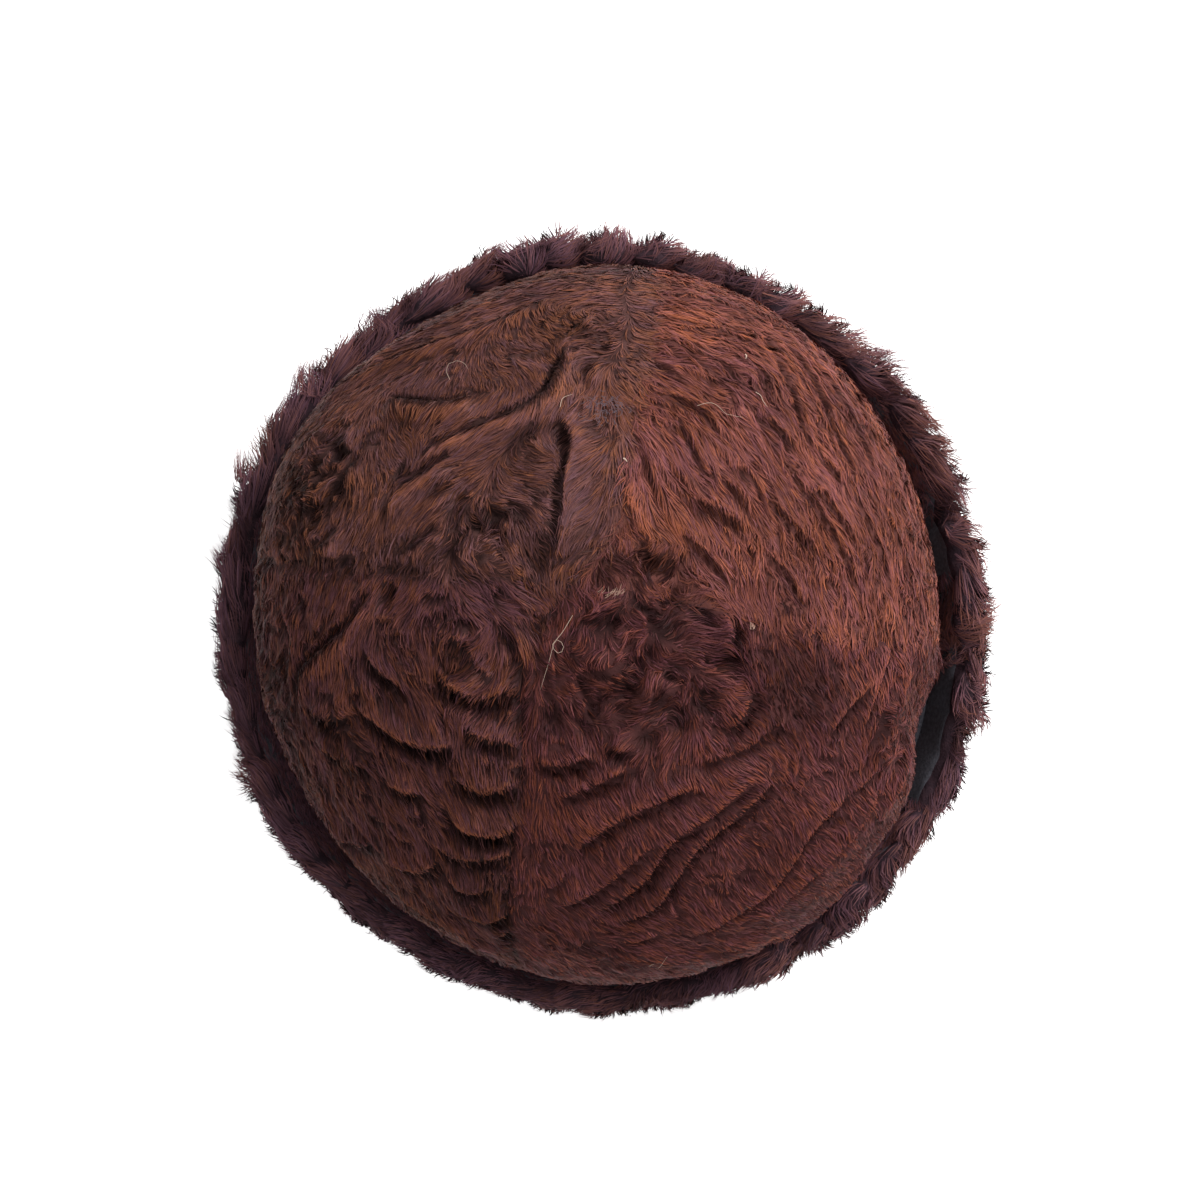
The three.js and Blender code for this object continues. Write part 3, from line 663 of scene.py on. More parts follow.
def coat(quarter, flat):
    """The fur's under-surface and hair at places on the flat skin, five values each: height over
    the smooth crown in mm, the hair's direction as a unit vector, then how deep in a groove and
    how near a fringe it is, which also set where the hair and its base are painted darker as
    shade and lighter as a highlight."""
    inside_of = dict(zip(QUARTERS[quarter], seam_sides(quarter, flat)))
    rolls, grooves, folded, edge = folds(quarter, flat)
    wave, trough, crest, turned = waves(quarter, flat, folded)
    angle = flow(quarter, flat, inside_of) + turned + 9.0 * ripple(flat, 15.0, 24)
    height = ROLL_RISES[quarter] * (rolls - 0.55 * grooves) + wave
    # The groove value is painted shade in the folds' grooves and the waves' troughs; the edge value
    # is a painted highlight at fringes and wave crests
    groove = np.clip(GROOVE_SHOWS[quarter] * grooves / FULL_FOLD + 0.85 * trough, 0.0, 1.0)
    edge = np.maximum(edge, 0.8 * crest)
    for (deep,) in spots(SHADED_HOLLOWS, quarter, flat, 1.4):
        height = height - HOLLOW_DEPTH * deep
        groove = np.clip(groove + deep, 0.0, 1.0)
    bent = flat + 1.6 * np.stack([ripple(flat, 7.0, 31), ripple(flat, 7.0, 32)], -1)
    tuft = locks(bent, TUFT_SIZE, 33)
    share = np.linalg.norm(bent - tuft, axis=-1) / (0.62 * TUFT_SIZE)
    cap = np.clip(1.0 - share ** 2, 0.0, 1.0)
    own_way = LOCK_TURN * ripple(tuft, 9.0, 34)
    for near, messy in spots(TOUSLED, quarter, flat, 1.5):
        near = messy * near
        angle = angle + near * own_way
        height = height + LOCK_RISE * near * cap
        # Painted shade between the tousled locks and a painted highlight on their tops
        groove = np.clip(groove + 0.9 * near * smooth((share - 0.62) / 0.35), 0.0, 1.0)
        edge = np.maximum(edge, 0.8 * near * cap ** 2)
    bare = np.clip(0.7 + 0.7 * ripple(flat, 17.0, 41), 0.25, 1.0)
    for seam, inside in inside_of.items():
        dip = smooth(1.0 - inside / SEAM_DIP)
        shows = SEAM_SHOWS[seam] * bare
        height = height * (1.0 - (0.25 + 0.4 * shows) * dip) - SEAM_DEPTH * shows * dip
        groove = np.clip(groove + shows * smooth(1.0 - inside / SEAM_DARK), 0.0, 1.0)
    reach = np.linalg.norm(flat, axis=-1)
    bearing = np.degrees(np.arctan2(flat[:, 1], flat[:, 0]))
    for at, half, start, depth in DENTS:
        pressed = smooth(1.0 - np.abs(turned_by(bearing, at)) / half)
        height = height - depth * (pressed * smooth((reach - start) / DENT_EASE))
    shown = smooth((crown_point(flat)[..., 2] - PLAIN_BELOW) / PLAIN_EASE)
    east, north = heading(np.radians(angle)).T
    return np.stack([height * shown, east, north, groove * shown, edge * shown], -1)


# The coat is worked out once on a fine grid over each quarter and read between its points
GRID_STEP = 0.6
GRID_HALF = 207.0
GRID_MARGIN = 9.0


def coat_grid(quarter):
    """The coat at every point of a square grid that lies over a quarter or close to it."""
    line = np.arange(-GRID_HALF, GRID_HALF + GRID_STEP, GRID_STEP)
    flat = np.stack(np.meshgrid(line, line, indexing="ij"), -1)
    near = seam_distance(quarter, flat) > -GRID_MARGIN
    near &= np.linalg.norm(flat, axis=-1) < GRID_HALF
    values = np.zeros((*flat.shape[:2], 5))
    values[near] = coat(quarter, flat[near])
    return values


def read(values, flat):
    """Values of a grid at places on the flat skin, weighted by nearness along both sides of the
    square that a place lies in."""
    at = (flat + GRID_HALF) / GRID_STEP
    cell = np.clip(np.floor(at).astype(int), 0, values.shape[0] - 2)
    a, b = np.moveaxis(at - cell, -1, 0)[..., None]
    x, y = np.moveaxis(cell, -1, 0)
    near = values[x, y] * (1.0 - a) + values[x + 1, y] * a
    far = values[x, y + 1] * (1.0 - a) + values[x + 1, y + 1] * a
    return near * (1.0 - b) + far * b


coats = {quarter: coat_grid(quarter) for quarter in QUARTERS}


# The pelts of the crown
# The skin with the hair's dark base, a shell that is thick with pressed hair. Its inside is bare
# suede. Finer than the solids that it replaces, and cut on the same seams.
PELT_COLUMNS = 88
PELT_ROWS = 100
INSIDE_STEP = 4
SEAM_GAP = 0.04


def placed(name, data):
    """A new object in the scene, at the origin."""
    thing = bpy.data.objects.new(name, data)
    bpy.context.scene.collection.objects.link(thing)
    return thing


def mesh_object(name, points, faces, materials):
    """A smooth mesh object from points in mm about the crown's axis and a list of arrays of
    faces, three or four corners to a row, each with the number of its material."""
    mesh = bpy.data.meshes.new(name)
    sizes = np.concatenate([np.full(len(f), f.shape[1]) for f, _ in faces])
    slots = np.concatenate([np.full(len(f), slot) for f, slot in faces])
    loops = np.concatenate([f.ravel() for f, _ in faces])
    mesh.vertices.add(len(points))
    mesh.vertices.foreach_set("co", ((points + AXIS) * MM).astype(np.float32).ravel())
    mesh.loops.add(len(loops))
    mesh.loops.foreach_set("vertex_index", loops.astype(np.int32))
    mesh.polygons.add(len(sizes))
    starts = np.concatenate([[0], np.cumsum(sizes)[:-1]])
    mesh.polygons.foreach_set("loop_start", starts.astype(np.int32))
    mesh.polygons.foreach_set("loop_total", sizes.astype(np.int32))
    mesh.polygons.foreach_set("material_index", slots.astype(np.int32))
    mesh.polygons.foreach_set("use_smooth", np.ones(len(sizes), bool))
    mesh.update(calc_edges=True)
    for material in materials:
        mesh.materials.append(material)
    return placed(name, mesh)


def quarter_grid(quarter, columns, rows):
    """Places on the flat skin over a quarter: rays from the meeting point between its two seams,
    each from the point to the foot. Row 0 is the meeting point itself."""
    share = np.linspace(0.0, 1.0, columns + 1)[None, :]
    way = np.linspace(0.0, 1.0, rows + 1)[:, None]
    foot_first, foot_second = seam_angles(quarter, PROFILE_LENGTH)
    at_foot = np.radians(foot_first + (foot_second - foot_first) * share)
    towards = meeting[0] * np.cos(at_foot) + meeting[1] * np.sin(at_foot)
    to_foot = np.sqrt(towards ** 2 - meeting @ meeting + PROFILE_LENGTH ** 2) - towards
    distance = way * to_foot
    first, second = seam_angles(quarter, distance)
    turn = np.radians(first + (second - first) * share)
    flat = meeting + distance[..., None] * heading(turn)
    reach = np.linalg.norm(flat, axis=-1, keepdims=True)
    return np.where(reach > PROFILE_LENGTH, flat * PROFILE_LENGTH / reach, flat)


def grid_faces(index):
    """Four-cornered faces over a grid of point numbers, turning left from row to row."""
    corners = index[:-1, :-1], index[1:, :-1], index[1:, 1:], index[:-1, 1:]
    return np.stack(corners, -1).reshape(-1, 4)


def strip_faces(fine, coarse):
    """Triangles of a wall's edge: each coarse step is a fan from its first point to the fine
    points, then one triangle to its second."""
    near = np.repeat(coarse[:-1], INSIDE_STEP)
    fans = np.stack([fine[:-1], fine[1:], near], -1)
    ends = np.stack([fine[INSIDE_STEP::INSIDE_STEP], coarse[1:], coarse[:-1]], -1)
    faces = np.concatenate([fans, ends])
    return faces[np.all(faces != np.roll(faces, -1, axis=1), axis=1)]


def pelt_mesh(name, quarter, materials):
    """A closed shell: the outer grid on the coat's height, every fourth point again on the
    inside a wall's thickness below, and flat strips between the two along the seams and the
    foot. Its values say how deep in a groove each point is, where its base material paints
    shade."""
    flat = quarter_grid(quarter, PELT_COLUMNS, PELT_ROWS)
    values = read(coats[quarter], flat)
    point, normal, _, _ = crown_frame(flat)
    side = unit(np.cross(normal, np.gradient(point, axis=0)))
    point[1:, 0] += side[1:, 0] * SEAM_GAP / 2
    point[1:, -1] -= side[1:, -1] * SEAM_GAP / 2
    outer = point + normal * values[..., HEIGHT, None]
    inner = point - normal * PELT_WALL
    outer[-1, :, 2] = inner[-1, :, 2] = FOOT_HEIGHT
    kept = inner[::INSIDE_STEP, ::INSIDE_STEP]
    points = np.concatenate([outer.reshape(-1, 3), kept.reshape(-1, 3)])
    on_outer, on_inner = outer[..., 0].size, kept[..., 0].size
    fur = np.arange(on_outer).reshape(outer.shape[:2])
    skin = on_outer + np.arange(on_inner).reshape(kept.shape[:2])
    fur[0] = fur[0, 0]
    skin[0] = skin[0, 0]
    rounded = [
        (grid_faces(fur[1:]), 0),
        (np.stack([fur[0, :-1], fur[1, :-1], fur[1, 1:]], -1), 0),
        (grid_faces(skin[1:])[:, ::-1], 1),
        (np.stack([skin[0, :-1], skin[1, 1:], skin[1, :-1]], -1), 1),
    ]
    sides = [
        (fur[::-1, 0], skin[::-1, 0]),
        (fur[:, -1], skin[:, -1]),
        (fur[-1, ::-1], skin[-1, ::-1]),
    ]
    strips = [(strip_faces(fine, coarse), 0) for fine, coarse in sides]
    thing = mesh_object(name, points, rounded + strips, materials)
    is_flat = np.arange(len(thing.data.polygons)) >= sum(len(faces) for faces, _ in rounded)
    thing.data.polygons.foreach_set("use_smooth", ~is_flat)
    deep = np.zeros(len(points), np.float32)
    deep[:on_outer] = values[..., GROOVE].ravel()
    thing.data.attributes.new("groove", "FLOAT", "POINT").data.foreach_set("value", deep)
    return thing


def new_material(name, roughness, specular):
    """A material with a Principled shader, its steady values set on the shader itself."""
    material = bpy.data.materials.new(name)
    material.use_nodes = True
    shader = material.node_tree.nodes["Principled BSDF"]
    shader.inputs["Roughness"].default_value = roughness
    shader.inputs["Specular IOR Level"].default_value = specular
    return material, material.node_tree, shader


def add_node(tree, kind, inputs, **settings):
    """A new node with its settings and inputs: another node's output is linked, and anything
    else is the input's own value."""
    node = tree.nodes.new(kind)
    for name, value in settings.items():
        setattr(node, name, value)
    for name, value in inputs.items():
        if isinstance(value, bpy.types.NodeSocket):
            tree.links.new(value, node.inputs[name])
        else:
            node.inputs[name].default_value = value
    return node


def mottled_material(name, dark, light, scale=300.0, bump_depth=0.0006, depth=None):
    """Two close colours mixed by noise, with a fine bump. With the name of a mesh's own values,
    a third of the darker colour takes over where they near 1: painted shade in the fur's grooves."""
    material, tree, shader = new_material(name, roughness=0.85, specular=0.1)
    place = add_node(tree, "ShaderNodeTexCoord", {}).outputs["Object"]
    patches = {"Vector": place, "Scale": scale, "Detail": 4.0}
    patches = add_node(tree, "ShaderNodeTexNoise", patches).outputs["Fac"]
    ramp = add_node(tree, "ShaderNodeValToRGB", {"Fac": patches})
    for stop, position, colour in zip(ramp.color_ramp.elements, (0.35, 0.7), (dark, light)):
        stop.position = position
        stop.color = (*colour, 1.0)
    colour = ramp.outputs["Color"]
    # Painted shade: the base darkens towards a third of its darker colour in the grooves
    if depth:
        values = add_node(tree, "ShaderNodeAttribute", {}, attribute_name=depth).outputs["Fac"]
        painted_groove_shade = (*(0.35 * part for part in dark), 1.0)
        mix = {0: values, 6: colour, 7: painted_groove_shade}
        colour = add_node(tree, "ShaderNodeMix", mix, data_type="RGBA").outputs[2]
    tree.links.new(colour, shader.inputs["Base Color"])
    fine = {"Vector": place, "Scale": 1600.0}
    fine = add_node(tree, "ShaderNodeTexNoise", fine).outputs["Fac"]
    bump = {"Height": fine, "Strength": 0.5, "Distance": bump_depth}
    bump = add_node(tree, "ShaderNodeBump", bump).outputs["Normal"]
    tree.links.new(bump, shader.inputs["Normal"])
    return material


# Dark and light colour of each quarter's hair base. Partly each pelt's own tone and partly
# painted light: the back right quarter, facing the light, is lighter and the front left, turned
# away from it, darker.
BASE_COLOURS = {
    "back_right": ((0.075, 0.025, 0.021), (0.105, 0.035, 0.029)),
    "back_left": ((0.045, 0.019, 0.017), (0.065, 0.028, 0.025)),
    "front_left": ((0.028, 0.011, 0.011), (0.042, 0.017, 0.016)),
    "front_right": ((0.038, 0.012, 0.012), (0.056, 0.018, 0.017)),
}
suede = mottled_material("skin_side_suede", (0.30, 0.22, 0.15), (0.42, 0.32, 0.23))
for quarter in QUARTERS:
    base = mottled_material(f"hair_base_{quarter}", *BASE_COLOURS[quarter], depth="groove")
    pelt = pelt_mesh(f"crown_pelt_{quarter}", quarter, (base, suede))
    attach(pelt, "root")
    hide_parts(f"crown_panel_{quarter}")


# The hair of the crown
# Short soft hairs that lie almost flat along the folds and gather in small locks. Each strand is
# a few hairs side by side: a flat tapering ribbon with fine streaks along it, darker towards its
# root and shaded like the fur's surface under it.
MOST_STRANDS = 53000
TRIES_PER_STRAND = 14
BENDS = 2
LOCK_SIZE = 2.0
LOWEST_HAIR = 32.0

# The map has this many squares a side, and a strand keeps a margin in its own. How light the
# darkest and the lightest square are, and where in a square the tip's colour is reached.
SHADES = 16
MAP_MARGIN = 0.08
DARKEST, LIGHTEST = 0.2, 1.9
TIP_FROM = 0.7


def ribbons(name, spine, normal, width, roll, shade, warmth, materials):
    """Flat tapering ribbons along spines: a pair of points at each bend and one at the tip. Each
    lies across its run, rolled a little, and is shaded with the given normal. In the map a
    strand lies in a square for its shade and warmth, from its root on the left to its tip."""
    count, bends = spine.shape[0], spine.shape[1] - 1
    run = np.gradient(spine, axis=1)
    side = unit(np.cross(run, normal[:, None]))
    up = unit(np.cross(side, run))
    across = side * np.cos(roll)[:, None, None] + up * np.sin(roll)[:, None, None]
    way = np.arange(bends) / bends
    half = (0.5 * width[:, None] * (1.0 - 0.6 * way ** 2))[..., None]
    left = spine[:, :bends] - across[:, :bends] * half
    right = spine[:, :bends] + across[:, :bends] * half
    pairs = np.stack([left, right], 2).reshape(count, -1, 3)
    points = np.concatenate([pairs, spine[:, bends:]], 1).reshape(-1, 3)
    size = 2 * bends + 1
    first = (np.arange(count) * size)[:, None]
    quads = [first + 2 * k + [0, 1, 3, 2] for k in range(bends - 1)]
    quads = np.concatenate(quads, 1).reshape(-1, 4)
    tips = first + [size - 3, size - 2, size - 1]
    thing = mesh_object(name, points, [(quads, 0), (tips, 0)], materials)
    place = np.zeros((count, size, 2))
    place[:, :-1, 0] = np.repeat(MAP_MARGIN + (1.0 - 2 * MAP_MARGIN) * way, 2)
    place[:, :-1, 1] = np.tile([0.75, 0.25], bends)
    place[:, -1] = (1.0 - MAP_MARGIN, 0.5)
    square = np.stack([np.floor(np.clip(v, 0.0, 0.999) * SHADES) for v in (shade, warmth)], -1)
    place = (place + square[:, None, :]) / SHADES
    chart = thing.data.uv_layers.new(name="OFBake")
    loops = np.empty(len(thing.data.loops), np.int32)
    thing.data.loops.foreach_get("vertex_index", loops)
    chart.data.foreach_set("uv", place.reshape(-1, 2)[loops].astype(np.float32).ravel())
    thing.data.normals_split_custom_set_from_vertices(np.repeat(normal, size, axis=0))
    return thing


def hair_group():
    """The colour of a strand from its square in the map: across the squares it gets lighter, up
    them warmer, and in a square it goes from the root's colour to the tip's. Noise drawn out
    along the strand splits it into hairs."""
    group = bpy.data.node_groups.new("hair_colour", "ShaderNodeTree")
    sockets = group.interface
    sockets.new_socket(name="Map", in_out="INPUT", socket_type="NodeSocketVector")
    for name in ("Root", "Cool", "Warm"):
        sockets.new_socket(name=name, in_out="INPUT", socket_type="NodeSocketColor")
    sockets.new_socket(name="Color", in_out="OUTPUT", socket_type="NodeSocketColor")
    start = group.nodes.new("NodeGroupInput").outputs

    def vector(operation, value, **inputs):
        inputs = {0: value, **inputs}
        node = add_node(group, "ShaderNodeVectorMath", inputs, operation=operation)
        return node.outputs["Vector"]

    def parts(value):
        return add_node(group, "ShaderNodeSeparateXYZ", {0: value}).outputs

    def math(operation, *values):
        inputs = dict(enumerate(values))
        return add_node(group, "ShaderNodeMath", inputs, operation=operation).outputs["Value"]

    def ranged(value, *limits):
        inputs = dict(zip(("From Min", "From Max", "To Min", "To Max"), limits))
        return add_node(group, "ShaderNodeMapRange", {"Value": value, **inputs}).outputs["Result"]

    def mixed(blend, factor, a, b):
        inputs = {0: factor, 6: a, 7: b}
        mix = add_node(group, "ShaderNodeMix", inputs, data_type="RGBA", blend_type=blend)
        return mix.outputs[2]

    def combined(*values):
        return add_node(group, "ShaderNodeCombineXYZ", dict(enumerate(values))).outputs[0]

    scaled = vector("SCALE", start["Map"], Scale=SHADES)
    square = parts(vector("FLOOR", scaled))
    within = parts(vector("FRACTION", scaled))
    warmth = ranged(square["Y"], 0.0, SHADES - 1.0, 0.0, 1.0)
    light = ranged(square["X"], 0.0, SHADES - 1.0, DARKEST, LIGHTEST)
    tip = ranged(within["X"], MAP_MARGIN, TIP_FROM, 0.0, 1.0)
    hue = mixed("MIX", warmth, start["Cool"], start["Warm"])
    strand = mixed("MIX", tip, start["Root"], hue)
    own = math("MULTIPLY_ADD", square["X"], SHADES + 1.3, square["Y"])
    drawn = combined(math("MULTIPLY", within["X"], 1.5), math("MULTIPLY", within["Y"], 5.0), own)
    noise = {"Vector": drawn, "Scale": 1.0, "Detail": 1.0}
    hairs = add_node(group, "ShaderNodeTexNoise", noise).outputs["Fac"]
    lit = math("MULTIPLY", light, ranged(hairs, 0.3, 0.7, 0.65, 1.35))
    shaded = mixed("MULTIPLY", 1.0, strand, combined(lit, lit, lit))
    add_node(group, "NodeGroupOutput", {"Color": shaded})
    return group


hair_colour = hair_group()


def hair_material(name, root, cool, warm):
    """Hair whose colour comes from the strand's own map."""
    material, tree, shader = new_material(name, roughness=0.55, specular=0.05)
    chart = add_node(tree, "ShaderNodeUVMap", {}, uv_map="OFBake").outputs["UV"]
    colour = tree.nodes.new("ShaderNodeGroup")
    colour.node_tree = hair_colour
    for socket, value in (("Root", root), ("Cool", cool), ("Warm", warm)):
        colour.inputs[socket].default_value = (*value, 1.0)
    tree.links.new(chart, colour.inputs["Map"])
    tree.links.new(colour.outputs["Color"], shader.inputs["Base Color"])
    return material


def strand_roots(rng, quarter, wanted):
    """Random places on the flat skin over a quarter, up to a number, evenly spread over the real
    surface: tries are kept with a chance that follows how much surface the flat skin stands for
    there."""
    tries = rng.uniform(-PROFILE_LENGTH, PROFILE_LENGTH, (wanted * TRIES_PER_STRAND, 2))
    tries = tries[np.linalg.norm(tries, axis=1) < PROFILE_LENGTH]
    tries = tries[seam_distance(quarter, tries) > 0.05]
    tries = tries[crown_point(tries)[:, 2] > LOWEST_HAIR]
    step = 0.5
    east = crown_point(tries + [step, 0.0]) - crown_point(tries - [step, 0.0])
    north = crown_point(tries + [0.0, step]) - crown_point(tries - [0.0, step])
    surface = np.linalg.norm(np.cross(east, north), axis=1) / (4 * step * step)
    return tries[rng.uniform(0.0, 1.0, len(tries)) < surface / surface.max()][:wanted]


# Loose tufts: pixel, radius in mm, longer by a share, standing off in mm
TUFTS = {
    "back_left": [(290, 500, 9, 0.4, 1.0)],
    "front_left": [(235, 700, 8, 0.5, 0.8)],
    "front_right": [
        (936, 652, 11, 0.9, 1.6), (912, 742, 8, 0.9, 1.4), (705, 640, 9, 0.5, 1.2),
        (740, 655, 5, 0.6, 1.0),
    ],
}

# At a strand's root, bend and tip, in mm: how far below its root it may hang, and how far it
# stands off what lies under it
HANG = np.array([0.0, 0.3, 1.1])
LIFT = np.array([0.0, 0.55, 0.6])

# A strand ends where the groove's depth passes the first of these, and is short where it starts
# in one deeper than the second
GROOVE_STOPS = 0.4
GROOVE_SHORT = 0.35

# The coat's slope is its rise over this step on either side, in mm
SLOPE_STEP = 0.8

# Shade and warmth of a strand from 0 to 1: their middle, what a fringe adds as a painted warm
# highlight and a groove takes as painted shade
SHADE, SHADE_FRINGE, SHADE_GROOVE = 0.45, 0.22, 0.42
WARMTH, WARMTH_FRINGE, WARMTH_GROOVE = 0.42, 0.3, 0.1


def strand_paths(quarter, root, length, off):
    """Each strand's way over the flat skin in short steps along the coat's direction, turned by
    its own angle. It ends short of a groove."""
    values = coats[quarter]
    own = read(values, root)
    run = own[:, EAST:NORTH + 1]
    shares = (np.arange(8) + 1.0) / 8
    ahead = [read(values, root + run * (share * length)[:, None])[:, GROOVE] for share in shares]
    free = np.cumprod([deep < GROOVE_STOPS for deep in ahead], axis=0).mean(axis=0)
    open_share = np.clip(free + 0.1, 0.25, 1.0)
    length = length * np.where(own[:, GROOVE] > GROOVE_SHORT, 0.7, open_share)
    turn_east, turn_north = np.cos(off)[:, None], np.sin(off)[:, None]
    flat = [root]
    for _ in range(BENDS):
        way = unit(read(values, flat[-1])[:, EAST:NORTH + 1])
        way = way * turn_east + np.stack([-way[:, 1], way[:, 0]], -1) * turn_north
        flat.append(flat[-1] + way * (length / BENDS)[:, None])
    return np.stack(flat, 1)


def crown_hair(quarter, length, width, gathered, uneven, materials, seed):
    """Strands over a quarter. Each runs along the coat from its root and leans towards its
    lock, lies on the coat and is shaded by the coat's slope. Its colour is painted lighter near a
    fringe as a highlight and darker in a groove as shade."""
    rng = np.random.default_rng(seed)
    values = coats[quarter]
    root = strand_roots(rng, quarter, MOST_STRANDS)
    count = len(root)
    own = read(values, root)
    middle = locks(root, LOCK_SIZE, seed + 1)
    off = rng.normal(0.0, 0.06, count) + 0.12 * ripple(root, 5.0, seed + 2)
    for seam, inside in zip(QUARTERS[quarter], seam_sides(quarter, root)):
        loose_seam = smooth(1.0 - inside / SEAM_DARK) * (1.0 - 0.7 * SEAM_SHOWS[seam])
        off = off + rng.normal(0.0, 0.6, count) * loose_seam
    length = length * rng.uniform(0.7, 1.3, count)
    loose = np.zeros(count)
    for near, longer, stands in spots(TUFTS, quarter, root, 1.4):
        length = length * (1.0 + longer * near)
        loose = loose + stands * near
    flat = strand_paths(quarter, root, length, off)
    way = np.arange(BENDS + 1) / BENDS
    flat = flat + gathered * (middle - root)[:, None] * (way ** 1.5)[None, :, None]
    below = read(values, flat)[..., HEIGHT]
    lift = LIFT * (0.5 + 0.8 * rng.uniform(0.0, 1.0, (count, 1)))
    over = np.maximum(below, own[:, HEIGHT, None] - HANG) + lift + loose[:, None] * way
    over[:, 0] = own[:, HEIGHT] - 0.1
    point, normal, east, north = crown_frame(flat)
    spine = point + normal * over[..., None]
    steps = SLOPE_STEP * np.eye(2)
    rises = [read(values, root + step) - read(values, root - step) for step in steps]
    to_east, to_north = (rise[:, HEIGHT, None] / (2 * SLOPE_STEP) for rise in rises)
    shaded = unit(normal[:, 0] - east[:, 0] * to_east - north[:, 0] * to_north)
    shaded = unit(shaded + rng.normal(0.0, 0.07, (count, 3)))
    # Painted highlight at fringes, wave crests and lock tops, and painted shade in grooves, troughs
    # and hollows
    shade = SHADE + SHADE_FRINGE * own[:, FRINGE] - SHADE_GROOVE * own[:, GROOVE]
    shade = shade + 0.07 * ripple(root, 30.0, seed + 4) + rng.normal(0.0, uneven, count)
    warmth = WARMTH + WARMTH_FRINGE * own[:, FRINGE] + 0.14 * ripple(root, 24.0, seed + 5)
    warmth = warmth - WARMTH_GROOVE * own[:, GROOVE] + 0.2 * ripple(root, 5.0, seed + 6)
    warmth = warmth + rng.normal(0.0, 0.23, count)
    # Patches of the fur's own tone, and some of painted light and painted shade
    for near, darker, warmer in spots(TONE_AND_LIGHT_PATCHES, quarter, root, 1.3):
        shade = shade + darker * near
        warmth = warmth + warmer * near
    width = width * rng.uniform(0.7, 1.3, count)
    roll = rng.normal(0.0, 0.25, count)
    name = f"crown_hair_{quarter}"
    return ribbons(name, spine, shaded, width, roll, shade, warmth, materials)


# Each quarter's hair: length and width in mm, how much it gathers in locks, how uneven its shade
# is, then its colour at the root, where it is cooler and where it is warmer. These colours are
# partly each pelt's own tone and partly painted light: lighter on the back right quarter that
# faces the light, darker on the front left.
HAIR = {
    "back_right": (
        5.8, 0.37, 0.15, 0.035, (0.105, 0.034, 0.025), (0.138, 0.046, 0.052), (0.218, 0.062, 0.028),
    ),
    "back_left": (
        5.6, 0.36, 0.15, 0.075, (0.062, 0.025, 0.021), (0.090, 0.040, 0.047), (0.140, 0.047, 0.023),
    ),
    "front_left": (
        5.6, 0.36, 0.3, 0.075, (0.036, 0.014, 0.013), (0.080, 0.030, 0.038), (0.118, 0.036, 0.017),
    ),
    "front_right": (
        4.0, 0.34, 0.1, 0.09, (0.060, 0.019, 0.016), (0.096, 0.031, 0.040), (0.146, 0.038, 0.019),
    ),
}
for seed, quarter in enumerate(QUARTERS):
    length, width, gathered, uneven, *colours = HAIR[quarter]
    material = hair_material(f"lambskin_hair_{quarter}", *colours)
    hair = crown_hair(quarter, length, width, gathered, uneven, (material,), 100 * (seed + 1))
    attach(hair, "root")


# The turned-up cuff
# A folded strip of longer, curlier lambskin whose fur side faces out. It stands round the crown
# with its edge cut in locks that stand out most at the right and the back. Its inner face is
# lined with charcoal cloth to just under the edge.
CUFF_HEIGHT = 48.0
CUFF_WALL = 8.0
STAND_OFF = 8.0
FOLD_FLOOR = 4.0
FOLD_ROUND = 7.0
FOLD_EASE = 1.0 - np.sqrt(0.5)
TUFT_RISE = 4.0
FACING_GAP = 0.5
FACING_WALL = 1.2
SEAT_GAP = 0.3
RISE_SHARE = np.array([1.06, 1.06, 1.04, 1.04, 1.0, 0.98, 0.96, 0.92, 0.84, 0.86, 0.94, 1.0])
OFF_SHARE = np.array([1.0, 1.0, 0.45, 0.75, 0.75, 0.75, 1.0, 1.2, 0.75, 0.55, 0.6, 0.85])
TUFT_SHARE = np.array([0.9, 0.6, 0.8, 1.0, 0.7, 0.5, 0.4, 0.4, 0.3, 0.3, 0.6, 0.8])

# Notches in the edge: bearing, depth as a share of the height, half width in degrees
NOTCHES = [(18, 0.2, 4), (278, 0.1, 5), (301, 0.12, 4)]

# Levels of the wall: share of the height, share of the stand-off, share of the wall's thickness
LEVELS = [(0.0, 0.0, 1.5), (0.35, 0.2, 1.85), (0.7, 0.62, 1.5), (0.93, 1.0, 1.0)]

# The section's corners, counted from the fold's inner one. The cloth lines the inner face from
# the first to the second of the places between them.
CORNERS = 13
LINED = (7.75, 11.0)

# Curls are caps of this size and rise in mm round random middles. They show between two places
# round the section, over an ease at each end.
CURLS_FROM, CURLS_TO, CURLS_EASE = 2.6, 8.4, 1.2
CURL_SIZE = 10.5
CURL_RISE = 3.6
CURL_REACH = 0.72 * CURL_SIZE
CURL_SEED = 71


def cuff_rise(bearing):
    """Height of the cuff's edge, less its notches."""
    rise = CUFF_HEIGHT * around(RISE_SHARE, bearing)
    for at, depth, half in NOTCHES:
        rise = rise - CUFF_HEIGHT * depth * smooth(1.0 - np.abs(turned_by(bearing, at)) / half)
    return rise


def cuff_face(bearing, level):
    """Radius and height of the cuff's inner face at a level: just clear of the crown and the
    facing, and leaning away upward."""
    share, lean, _ = level
    height = FOLD_FLOOR + (cuff_rise(bearing) - FOLD_FLOOR) * share
    clear = FACING_GAP + FACING_WALL + SEAT_GAP
    radius = crown_radius_at(bearing, height) + clear
    return radius + STAND_OFF * around(OFF_SHARE, bearing) * lean, height


